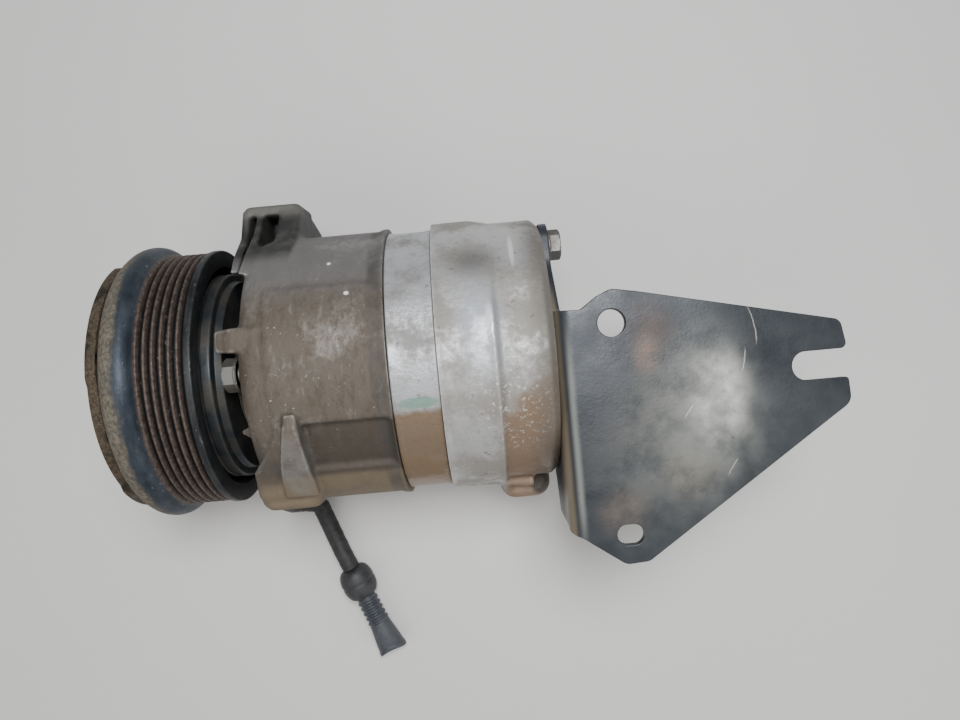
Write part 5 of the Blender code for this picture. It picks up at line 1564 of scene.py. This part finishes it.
@dataclass
class Crankcase:
    """Front housing: a cast drum with a raised band, a recess, two ears and a machined neck."""

    radius: float = 0.064
    front_x: float = -0.103
    seam_x: float = -0.039
    face_round: float = 0.010
    cavity_r: float = 0.0588
    wall_in_x: float = -0.096
    voxel: float = 0.00085

    def relief(self, x: Array, turn: Array) -> Array:
        """Height of the side's features at a station and turn: a band, a recess below it, a lip and ribs."""
        degrees = np.degrees(turn)
        band = 0.0010 * window(degrees, 57.0, 111.0, 1.6) * window(x, -0.0900, -0.0425, 0.003)
        recess = -0.0026 * window(degrees, 112.0, 134.5, 2.2) * window(x, -0.0830, -0.0400, 0.002)
        lip = 0.0009 * window(x, -0.0420, 0.0, 0.0012)
        shoulder = -0.0012 * window(degrees, 20.0, 56.0, 5.0) * window(x, -0.0800, -0.0430, 0.006)
        ribs = sum(
            0.0022 * window(degrees, at - 1.6, at + 1.6, 1.2) for at in (205.0, 232.0, 270.0, 308.0, 335.0)
        )
        return band + recess + lip + shoulder + ribs * window(x, -0.092, -0.0425, 0.004)

    def drum(self) -> Solid:
        """Profile from the middle of the front face, round its edge and along the side, turned, with relief.

        The face is carved between the bolt pads, deepest half way out, as the cosine of the turn to the
        nearest bolt says.
        """
        arc = np.linspace(0.0, math.pi / 2, 12)
        face_r = np.linspace(0.004, self.radius - self.face_round, 24)[:-1]
        side = np.linspace(self.front_x + self.face_round, self.seam_x + 0.0015, 64)[1:]
        x = np.concatenate(
            [np.full(23, self.front_x), self.front_x + self.face_round * (1 - np.cos(arc)), side]
        )
        r = np.concatenate(
            [face_r, self.radius - self.face_round * (1 - np.sin(arc)), np.full(63, self.radius)]
        )
        turn = np.linspace(0.0, FULL_TURN, 360, endpoint=False)
        x, turn = np.meshgrid(x, turn, indexing="ij")
        r = np.broadcast_to(r[:, None], x.shape)
        from_bolt = np.cos((turn - bolt_angles()[0]) * CYLINDERS)
        carve = 0.0030 * window(r, 0.035, 0.0575, 0.004) * smooth((0.15 - from_bolt) / 0.5)
        on_side = smooth((x - self.front_x - 0.002) / 0.008)
        radius = r + self.relief(x, turn) * on_side
        x = x + carve * (1 - on_side)
        return skin(np.stack([x, radius * np.cos(turn), radius * np.sin(turn)], -1))

    def upper_ear(self) -> list[Solid]:
        """Hollow ear: floor, outer wall, front web, rear block and the rib between two pockets."""
        x1, x2 = UPPER_EAR.x
        return [
            UPPER_EAR.column(-0.014, taper=0.0058),
            loft(
                Axis.UP,
                [
                    (-0.020, x1, x2, 0.0765, 0.0825, 0.0029),
                    (0.002, x1 + 0.0005, x2 - 0.0005, 0.0768, 0.0825, 0.0028),
                    (0.005, x1 + 0.0025, x2 - 0.003, 0.0775, 0.0815, 0.0018),
                ],
            ),
            loft(
                Axis.ACROSS,
                [
                    (0.046, x1 + 0.001, -0.1065, -0.02, 0.036, 0.0016),
                    (0.056, x1, -0.1068, -0.02, 0.024, 0.0016),
                    (0.066, x1, -0.1070, -0.02, 0.011, 0.0016),
                    (0.0800, x1, -0.1070, -0.02, 0.0045, 0.0016),
                ],
            ),
            loft(
                Axis.ACROSS,
                [
                    (0.046, -0.0935, x2 + 0.002, -0.02, 0.041, 0.003),
                    (0.056, -0.0935, x2 + 0.001, -0.02, 0.028, 0.003),
                    (0.066, -0.0930, x2, -0.02, 0.0150, 0.003),
                    (0.0800, -0.0925, x2, -0.02, 0.0045, 0.0025),
                ],
            ),
            loft(
                Axis.ACROSS,
                [
                    (0.044, -0.1035, -0.0995, -0.02, 0.046, 0.0016),
                    (0.056, -0.1035, -0.0998, -0.02, 0.031, 0.0015),
                    (0.066, -0.1036, -0.1002, -0.02, 0.0155, 0.0014),
                    (0.0780, -0.1036, -0.1004, -0.02, 0.0045, 0.0012),
                ],
            ),
        ]

    def lower_ear(self) -> list[Solid]:
        """Ear under a flaring tower: a broad flank and, beside a crease, a narrower ridge that is higher."""
        x1, x2 = LOWER_EAR.x
        return [
            LOWER_EAR.column(LOWER_EAR.top),
            loft(
                Axis.ACROSS,
                [
                    (-0.0635, x1 + 0.003, x2 - 0.001, -0.03, 0.0320, 0.0035),
                    (-0.0560, x1, x2 + 0.0015, -0.03, 0.0375, 0.0035),
                    (-0.0500, x1, x2 + 0.0018, -0.03, 0.0400, 0.0035),
                    (-0.0440, x1 + 0.0015, x2 + 0.0015, -0.03, 0.0470, 0.0035),
                    (-0.0380, -0.0985, -0.0768, 0.0, 0.0530, 0.003),
                    (-0.0310, -0.0930, -0.0775, 0.0, 0.0580, 0.0025),
                    (-0.0240, -0.0880, -0.0780, 0.0, 0.0620, 0.0025),
                ],
            ),
            loft(
                Axis.ACROSS,
                [
                    (-0.0570, -0.0925, x2 + 0.0010, -0.02, 0.0395, 0.0016),
                    (-0.0500, -0.0915, x2 + 0.0014, -0.02, 0.0470, 0.0016),
                    (-0.0440, -0.0900, x2 + 0.0012, -0.02, 0.0536, 0.0016),
                    (-0.0380, -0.0885, -0.0773, 0.0, 0.0586, 0.0016),
                    (-0.0310, -0.0865, -0.0778, 0.0, 0.0632, 0.0016),
                    (-0.0240, -0.0850, -0.0782, 0.0, 0.0655, 0.0016),
                    (-0.0185, -0.0842, -0.0786, 0.0, 0.0645, 0.0016),
                ],
            ),
        ]

    def tabs(self) -> list[Solid]:
        """Pointer at the front edge, and a small pointed tab below it."""
        return [
            loft(
                Axis.SHAFT,
                [
                    (-0.1112, 0.0098, 0.0192, 0.0535, 0.0585, 0.0015),
                    (-0.104, 0.0092, 0.0198, 0.0480, 0.0612, 0.0015),
                    (-0.090, 0.0092, 0.0200, 0.0400, 0.0620, 0.0015),
                ],
            ),
            loft(
                Axis.SHAFT,
                [
                    (-0.1075, -0.0262, -0.0246, 0.0430, 0.0450, 0.0006),
                    (-0.0985, -0.0290, -0.0215, 0.0380, 0.0550, 0.0015),
                    (-0.0920, -0.0310, -0.0200, 0.0350, 0.0560, 0.0015),
                ],
            ),
        ]

    def neck(self) -> Solid:
        """Machined neck: pulley bearing seat, ring grooves and the foot that joins the drum."""
        return turned(
            rounded(
                [
                    (-0.1550, 0.0010, 0.0),
                    (-0.1550, 0.0200, 0.0006),
                    (-0.1536, 0.0200, 0.0),
                    (-0.1536, 0.0186, 0.0),
                    (-0.1516, 0.0186, 0.0),
                    (-0.1516, 0.0200, 0.0),
                    (-0.1310, 0.0200, 0.0),
                    (-0.1310, 0.0215, 0.0003),
                    (-0.1190, 0.0215, 0.0),
                    (-0.1190, 0.0201, 0.0),
                    (-0.1170, 0.0201, 0.0),
                    (-0.1170, 0.0215, 0.0),
                    (-0.1130, 0.0215, 0.0),
                    (-0.1130, 0.0300, 0.0008),
                    (-0.1030, 0.0310, 0.0),
                    (-0.0990, 0.0350, 0.0),
                    (-0.0990, 0.0010, 0.0),
                ],
                3,
            ),
            128,
        )

    def cavity(self) -> Solid:
        """Inside: seal bore, bearing seat and the crank chamber, open at the seam."""
        return turned(
            np.array(
                [
                    (
                        -0.1560, 0.0140
                    ), (-0.1241, 0.0140), (-0.1241, 0.0130), (-0.1153, 0.0130), (-0.1153, 0.0090),
                    (-0.1103, 0.0090), (-0.1103, 0.0140), (self.wall_in_x, 0.0140), (
                        self.wall_in_x, self.cavity_r - 0.002
                    ),
                    (self.wall_in_x + 0.002, self.cavity_r), (self.seam_x + 0.004, self.cavity_r),
                ]
            ),
            128,
        )

    def build(self) -> None:
        """Cast, then machined: seam face, neck, bore, bolt holes with spot faces, ears' faces and holes."""
        solids = [self.drum(), *self.upper_ear(), *self.lower_ear(), *self.tabs()]
        obj = cast("front_housing_casting", solids, self.voxel, 5)
        combine(obj, "DIFFERENCE", [slab(self.seam_x, self.seam_x + 0.01)])
        combine(obj, "UNION", [self.neck()])
        combine(obj, "DIFFERENCE", [self.cavity()])
        combine(obj, "DIFFERENCE", bolt_rods(-0.115, self.wall_in_x + 0.002))
        combine(obj, "DIFFERENCE", bolt_rods(-0.115, self.front_x + 0.0002, 0.0085, 40))
        combine(obj, "DIFFERENCE", [UPPER_EAR.face_cut(), LOWER_EAR.face_cut()])
        combine(obj, "DIFFERENCE", [UPPER_EAR.hole_cut(), LOWER_EAR.hole_cut()])
        finish = CrankcaseFinish(
            "crankcase_casting", (0.175, 0.158, 0.140), (0.108, 0.090, 0.072), grime_low=0.40, grime_high=0.62
        )
        fit(shade(obj, 38), finish.build(), "cast_aluminium", "housing", "front_housing")


@dataclass
class CylinderBlock:
    """The block: a turned casting with five bores and the spigot that enters the crankcase."""

    x1: float = -0.0387
    x2: float = -0.0182
    radius: float = 0.0628
    bore_r: float = 0.015
    spigot_x: float = field(default_factory=lambda: station("cylinder_block", 0))

    def build(self) -> None:
        """Outside with its machined ends and soft cast waves; then the bores and bolt holes are cut."""
        outside = rounded(
            [
                (self.spigot_x, 0.0123, 0.0004),
                (self.spigot_x, 0.0585, 0.0006),
                (-0.0418, 0.0585, 0.0002),
                (-0.0418, 0.0572, 0.0002),
                (self.x1, 0.0572, 0.0002),
                (self.x1, self.radius, 0.0006),
                (self.x1 + 0.0030, self.radius - 0.0006, 0.0020),
                (self.x2 - 0.0040, self.radius - 0.0006, 0.0020),
                (self.x2, self.radius, 0.0007),
                (self.x2, 0.0040, 0.0003),
                (-0.0403, 0.0040, 0.0003),
                (-0.0403, 0.0123, 0.0003),
            ],
            4,
        )
        obj = new_object("cylinder_block_casting", [turned(outside, 192, loop=True)])
        x1, x2 = self.spigot_x - 0.002, self.x2 + 0.002
        bores = [rod(x1, x2, self.bore_r, *polar(BORE_PITCH_R, turn)) for turn in bore_angles()]
        combine(obj, "DIFFERENCE", bores)
        combine(obj, "DIFFERENCE", bolt_rods(x1, x2))
        finish = BlockFinish(
            "block_casting",
            (0.46, 0.47, 0.49),
            (0.27, 0.265, 0.26),
            grime_low=0.52,
            grime_high=0.74,
            shift=4.0,
        )
        fit(shade(obj, 38), finish.build(), "cast_aluminium", "housing", "cylinder_block")


BRACKET_BOLTS = ((0.049, 0.012), (-0.038, 0.022), (0.006, 0.037))
RELIEF_PLACE = (-0.018, -0.030)
CONTROL_PLACE = np.array([0.0205, 0.0, -0.044])


@dataclass
class RearHead:
    """The rear head: a cast drum with a raised band and ridge, the rear ear, and machined rooms and ports."""

    x1: float = -0.0179
    x2: float = 0.0323
    radius: float = 0.064
    band_x: float = 0.0066
    core_r: float = 0.004
    recess_x: float = -0.0121
    chamber_depth: float = 0.018
    ports: tuple[tuple[float, float, tuple[float, float]], ...] = (
        (0.0085, 0.0115, (0.031, -0.020)),
        (0.0070, 0.0098, (0.004, -0.016)),
    )
    voxel: float = 0.00085

    def drum(self) -> Solid:
        """Side radius: full on the band, 2.2 mm less behind it where the camera side is, with a bump on top.

        The band ends in a small ridge, and the rear edge is cut back at 45 degrees.
        """
        x = np.linspace(self.x1 - 0.0015, self.x2 + 0.0015, 90)
        turn = np.linspace(0.0, FULL_TURN, 360, endpoint=False)
        x, turn = np.meshgrid(x, turn, indexing="ij")
        degrees = np.degrees(turn)
        step = 0.0022 - 0.0014 * window(degrees, -10.0, 66.0, 14.0) - 0.0014 * window(
            degrees, 350.0, 400.0, 14.0
        )
        radius = self.radius - step * smooth((x - self.band_x) / 0.0022)
        radius += 0.0009 * np.exp(-(((x - self.band_x) / 0.0014) ** 2)) * window(degrees, 72.0, 172.0, 8.0)
        top = np.cos(turn - math.radians(8.0))
        radius += 0.0014 * smooth((top - 0.80) / 0.18) * window(x, -0.0170, 0.0030, 0.010)
        radius += 0.0006 * window(x, -0.03, -0.0160, 0.0010)
        radius -= np.maximum(0.0, x - (self.x2 - 0.0030))
        rings = np.stack([x, radius * np.cos(turn), radius * np.sin(turn)], -1)
        middle = np.array([1.0, self.core_r / self.radius, self.core_r / self.radius])
        return skin(np.concatenate([rings[:1] * middle, rings, rings[-1:] * middle]))

    def ear(self) -> list[Solid]:
        """Rear ear with the bar that runs above it and the webs down to it."""
        x1, x2 = REAR_EAR.x
        return [
            REAR_EAR.column(REAR_EAR.top, 0.0075),
            loft(
                Axis.SHAFT,
                [
                    (-0.012, -0.0640, -0.0565, -0.010, 0.0100, 0.0015),
                    (0.008, -0.0655, -0.0575, -0.010, 0.0105, 0.0015),
                    (0.0210, -0.0668, -0.0622, 0.000, 0.0100, 0.0015),
                ],
            ),
            loft(
                Axis.ACROSS,
                [
                    (-0.0700, x1 + 0.001, x1 + 0.0060, -0.03, -0.002, 0.002),
                    (-0.0500, x1, x1 + 0.0065, -0.03, 0.020, 0.002),
                ],
            ),
        ]

    def build(self) -> None:
        """Cast, then machined: end faces, recess and chambers, bolt holes, ports, valve seats, bracket bolt
        holes, ear.
        """
        obj = cast("rear_head_casting", [self.drum(), *self.ear()], self.voxel, 5)
        combine(obj, "DIFFERENCE", [slab(self.x1 - 0.01, self.x1), slab(self.x2, self.x2 + 0.01)])
        combine(obj, "DIFFERENCE", [rod(self.x1 - 0.002, self.recess_x, 0.0604, around=128)])
        start, end = self.recess_x - 0.001, self.recess_x + self.chamber_depth
        combine(
            obj, "DIFFERENCE", [rod(start, end, 0.021, around=96), ring(start, end, 0.026, 0.044, 0.0002, 96)]
        )
        combine(obj, "DIFFERENCE", bolt_rods(self.x1 - 0.002, 0.0104))
        ports = []
        for radius, seat, (y, h) in self.ports:
            profile = np.array(
                [
                    (end - 0.002, radius),
                    (self.x2 - 0.0030, radius),
                    (self.x2 - 0.0022, seat),
                    (self.x2 + 0.002, seat),
                ]
            )
            ports.append(turned(profile, 56, y, h))
        combine(obj, "DIFFERENCE", ports)
        seats = [rod(self.x2 - 0.010, self.x2 + 0.002, 0.0053, *RELIEF_PLACE, around=40)]
        seats += [
            rod(self.x2 - 0.0123, self.x2 + 0.002, BOLT_HOLE_R, y, h, around=32) for y, h in BRACKET_BOLTS
        ]
        combine(obj, "DIFFERENCE", seats)
        control = swung(rod(0.004, 0.080, 0.0078, around=48), Axis.ACROSS, CONTROL_PLACE)
        combine(obj, "DIFFERENCE", [control])
        combine(obj, "DIFFERENCE", [REAR_EAR.face_cut()])
        combine(obj, "DIFFERENCE", [REAR_EAR.hole_cut()])
        finish = HeadFinish(
            "rear_head_casting_skin",
            (0.47, 0.47, 0.47),
            (0.30, 0.285, 0.265),
            grime_low=0.47,
            grime_high=0.72,
            shift=7.0,
        )
        fit(shade(obj, 38), finish.build(), "cast_aluminium", "housing", "rear_head")


@dataclass
class RearBracket:
    """Folded sheet bracket: an upright flange on the head and a plate towards the rear."""

    flange_x: float = field(default_factory=lambda: station("rear_bracket", 0))
    sheet: float = 0.004
    bend_r: float = 0.008
    top_h: float = 0.052
    edge: float = 0.0005
    slot_r: float = 0.0062

    def unfolded(self) -> list[Array]:
        """Outline of the flat blank and its holes, in (s, y): s is the distance past the bend."""
        past = self.flange_x + self.bend_r
        fold = self.bend_r * math.pi / 2
        bend_h = self.top_h - self.bend_r

        def plate(x: float, y: float, r: float) -> tuple[float, float, float]:
            return x - past, y, r

        def flange(y: float, h: float, r: float) -> tuple[float, float, float]:
            return h - bend_h - fold, y, r

        outline = [
            plate(0.0445, 0.0147, 0.004),
            plate(0.0520, 0.0200, 0.005),
            plate(0.0585, 0.0228, 0.006),
            plate(0.0700, 0.0206, 0.020),
            plate(0.1560, 0.0008, 0.004),
            plate(0.1580, -0.0118, 0.0025),
            plate(0.1336, -0.0118, 0.0061),
            plate(0.1336, -0.0242, 0.0061),
            plate(0.1575, -0.0242, 0.0015),
            plate(0.1580, -0.0350, 0.006),
            plate(0.0650, -0.0960, 0.006),
            plate(0.0550, -0.0965, 0.005),
            plate(0.0376, -0.0840, 0.010),
            flange(-0.0805, 0.0400, 0.010),
            flange(-0.0805, 0.0080, 0.004),
            flange(-0.0560, -0.0040, 0.010),
            flange(0.0400, -0.0040, 0.008),
            flange(0.0590, 0.0015, 0.008),
            flange(0.0590, 0.0230, 0.009),
            flange(0.0380, 0.0260, 0.012),
            flange(0.0155, 0.0460, 0.006),
        ]
        turn = np.linspace(0.0, FULL_TURN, 48, endpoint=False)
        circle = np.stack([np.cos(turn), np.sin(turn)], -1)
        round_hole = circle * 0.0060 + (0.0576 - past, 0.0079)
        oval = circle * 0.0044 + np.stack(
            [np.sign(np.cos(turn + 1e-4)) * 0.0014, 0 * turn], -1
        ) + (0.0579 - past, -0.0838)
        holes = [circle * BOLT_HOLE_R + (h - bend_h - fold, y) for y, h in BRACKET_BOLTS]
        return [rounded(outline, 8), round_hole, oval, *holes]

    def blank(self) -> Thing:
        """Flat blank: a filled curve with rolled edges, cut into strips where it will bend."""
        curve = bpy.data.curves.new("blank", "CURVE")
        curve.dimensions = "2D"
        curve.fill_mode = "BOTH"
        curve.extrude = self.sheet / 2 - self.edge
        curve.bevel_depth = self.edge
        curve.bevel_resolution = 2
        curve.offset = -self.edge
        for outline in self.unfolded():
            spline = curve.splines.new("POLY")
            spline.points.add(len(outline) - 1)
            spline.use_cyclic_u = True
            flat = np.concatenate([outline, np.zeros((len(outline), 1)), np.ones((len(outline), 1))], 1)
            spline.points.foreach_set("co", flat.ravel())
        helper = bpy.data.objects.new("blank", curve)
        bpy.context.scene.collection.objects.link(helper)
        bpy.context.view_layer.update()
        mesh = bpy.data.meshes.new_from_object(helper.evaluated_get(bpy.context.evaluated_depsgraph_get()))
        bpy.data.objects.remove(helper)
        solid = bmesh.new()
        solid.from_mesh(mesh)
        bmesh.ops.remove_doubles(solid, verts=solid.verts, dist=0.000005)
        for s in np.linspace(-self.bend_r * math.pi / 2, 0.0, 15):
            everything = [*solid.verts, *solid.edges, *solid.faces]
            bmesh.ops.bisect_plane(solid, geom=everything, dist=1e-7, plane_co=(s, 0, 0), plane_no=(1, 0, 0))
        bmesh.ops.recalc_face_normals(solid, faces=solid.faces)
        solid.to_mesh(mesh)
        solid.free()
        obj = bpy.data.objects.new("rear_bracket_folded", mesh)
        bpy.context.scene.collection.objects.link(obj)
        return obj

    def fold(self, obj: Thing) -> None:
        """Bend the blank: past the bend it stays flat, in the bend it follows the arc, and then it runs down.

        A point at depth t below the outer face stands t inside the outer face's line along its normal, which
        turns from up to forward as s runs through the bend.
        """
        mesh = obj.data
        flat = np.empty(len(mesh.vertices) * 3)
        mesh.vertices.foreach_get("co", flat)
        s, y, z = flat.reshape(-1, 3).T
        depth = self.sheet / 2 - z
        turn = np.clip(-s / self.bend_r, 0.0, math.pi / 2)
        beyond = np.maximum(-s - self.bend_r * math.pi / 2, 0.0)
        centre_x, centre_h = self.flange_x + self.bend_r, self.top_h - self.bend_r
        reach = self.bend_r - depth
        x = centre_x + np.maximum(s, 0.0) - reach * np.sin(turn)
        h = centre_h + reach * np.cos(turn) - beyond
        mesh.vertices.foreach_set("co", (np.stack([x, y, h], -1) + ORIGIN).ravel())
        mesh.update()

    def build(self) -> None:
        """The folded bracket."""
        obj = self.blank()
        self.fold(obj)
        weigh = shade(obj, 30).modifiers.new("weigh", "WEIGHTED_NORMAL")
        weigh.keep_sharp = True
        weigh.weight = 90
        settle(obj)
        fit(obj, SheetFinish("bracket_sheet_steel").build(), "bracket_steel", "housing", "rear_bracket")


@dataclass
class Fasteners:
    """Through bolts, bracket bolts and valves."""

    pitch: float = 0.00125
    flats: float = 0.0129

    def bolt(self, name: str, head: tuple[float, float], tip: float, y: float, h: float, end: int) -> None:
        """Flanged hexagon bolt: head, washer face, shank and thread.

        Args:
            name: The CAD node.
            head: Stations of its head, front and rear.
            tip: Station of its tip.
            y: Its place across the shaft.
            h: Its height.
            end: Which end of the head faces out, 0 front or 1 rear.
        """
        solids = [hex_solid(*head, self.flats, y, h, end)]
        seat = head[1] if end == 0 else head[0]
        sign = -1 if end == 0 else 1
        low, high = sorted((seat, seat + sign * 0.0014))
        solids.append(rod(low, high, 0.0074, y, h, 0.0004, 48))
        low, high = sorted((seat + sign * 0.001, tip))
        grip = 0.022 if high - low > 0.03 else 0.009
        if end == 0:
            solids += [
                rod(low, high - grip, BOLT_R, y, h),
                threaded(high - grip - 0.001, high, BOLT_R, self.pitch, y, h),
            ]
        else:
            thread = threaded(low, low + grip, BOLT_R, self.pitch, y, h)
            solids += [rod(low + grip - 0.001, high, BOLT_R, y, h), mirrored(thread, low, low + grip)]
        make(name, solids, ZINC.build(), "zinc_steel", "housing", 32.0)

    def valves(self) -> None:
        """Relief valve with its hexagon and cap, and the control valve with its rings and groove."""
        x, (y, h) = RearHead.x2, RELIEF_PLACE
        body = np.array(
            [(x - 0.009, 0.0045), (x - 0.0085, 0.0050), (x + 0.0003, 0.0050), (x + 0.0004, 0.0062)]
        )
        cap = rounded(
            [
                (x + 0.0055, 0.0001, 0.0),
                (x + 0.0055, 0.0040, 0.0003),
                (x + 0.0100, 0.0040, 0.0008),
                (x + 0.0100, 0.0001, 0.0),
            ],
            4,
        )
        nut = hex_solid(x + 0.0003, x + 0.006, 0.0138, y, h, 1)
        make(
            "relief_valve",
            [turned(body, 48, y, h), nut, turned(cap, 48, y, h)],
            BRASS.build(),
            "brass",
            "housing",
            32.0,
        )
        low, high = (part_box("control_valve")[k].y - ORIGIN[1] for k in (0, 1))
        body = [(low, 0.0060, 0.0004), (low + 0.0010, 0.0075, 0.0002)]
        for at in (0.010, 0.020, 0.030):
            body += groove(low + at, 0.0018, 0.0075, 0.0066)
        body += [
            (high - 0.0010, 0.0075, 0.0004),
            (high, 0.0064, 0.0004),
            (high, 0.0020, 0.0002),
            (high - 0.0015, 0.0018, 0.0002),
            (high - 0.0015, 0.0001, 0.0),
        ]
        solid = turned(rounded([*body, (low, 0.0001, 0.0)], 3), 56)
        make(
            "control_valve",
            [swung(solid, Axis.ACROSS, CONTROL_PLACE)],
            BRASS.build(),
            "brass",
            "housing",
            32.0,
        )

    def build(self) -> None:
        """Every bolt and valve."""
        for k, turn in enumerate(bolt_angles()):
            self.bolt(f"through_bolt_{k + 1}", (-0.1098, -0.1033), 0.0101, *polar(BOLT_PITCH_R, turn), 0)
        for k, (y, h) in enumerate(BRACKET_BOLTS):
            name = f"bracket_bolt_{k + 1}"
            low, high = ends(name)
            self.bolt(name, (high - 0.0062, high), low, y, h, 1)
        self.valves()


@dataclass
class Pump:
    """The shaft and the pistons."""

    piston_r: float = 0.0147
    ring_places: tuple[float, ...] = (0.0075, 0.0045)
    ring_width: float = 0.0012
    ring_depth: float = 0.001

    def build(self) -> None:
        """Turned pieces take their stations from the CAD nodes that they stand for."""
        x1, x2 = ends("drive_shaft")
        hub_x = station("clutch_hub", 0)
        steps = rounded(
            [
                (hub_x + 0.001, 0.0001, 0.0),
                (hub_x - 0.0003, 0.0060, 0.0003),
                (-0.1389, 0.0060, 0.0002),
                (-0.1379, 0.0080, 0.0003),
                (x2, 0.0080, 0.0006),
                (x2, 0.0001, 0.0),
            ],
            3,
        )
        thread = threaded(x1, hub_x + 0.001, 0.0040, 0.00125)
        shaft = [turned(steps, 96), mirrored(thread, x1, hub_x + 0.001)]
        make("drive_shaft", shaft, BRIGHT.build(), "bright_steel", "shaft")
        for k, turn in enumerate(bore_angles()):
            name = f"piston_{k + 1}"
            p1, p2 = ends(name)
            corners = [(p1, 0.0001, 0.0), (p1, self.piston_r, 0.0006)]
            for back in self.ring_places:
                corners += groove(p2 - back, self.ring_width, self.piston_r, self.piston_r - self.ring_depth)
            corners += [(p2, self.piston_r, 0.0005), (p2, 0.0001, 0.0)]
            piston = turned(rounded(corners, 3), 72, *polar(BORE_PITCH_R, turn))
            make(name, [piston], MACHINED.build(), "machined_aluminium", f"pump_{k + 1}")


def dress_nodes() -> None:
    """Give every CAD node that still shows a procedural finish, by a slot listed for its name, bright steel
    otherwise.
    """
    finishes = {"bright_steel": BRIGHT, "zinc_steel": ZINC, "black_rubber": RUBBER, "gasket_fibre": GASKET}
    by_name = {
        "head_gasket": "gasket_fibre", "housing_seal": "black_rubber", "shaft_seal": "black_rubber",
        "drive_rotor": "zinc_steel", "swash_journal": "zinc_steel",
    }
    made: dict[str, bpy.types.Material] = {}
    for name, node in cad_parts.items():
        if node.hide_render:
            continue
        slot = by_name.get(name, "bright_steel")
        if slot not in made:
            made[slot] = finishes[slot].build()
        node.data.materials.clear()
        node.data.materials.append(made[slot])
        LOG.info("%s keeps its shape, in %s", name, slot)


def main() -> None:
    """Build the stage, then each sub-assembly in order."""
    logging.basicConfig(level=logging.INFO, format="%(name)s %(message)s")
    Studio().build()
    CoilLead().build()
    for assembly in (Pulley, Clutch, Crankcase, CylinderBlock, RearHead, RearBracket, Fasteners, Pump):
        assembly().build()
    dress_nodes()


if __name__ == "__main__":
    main()
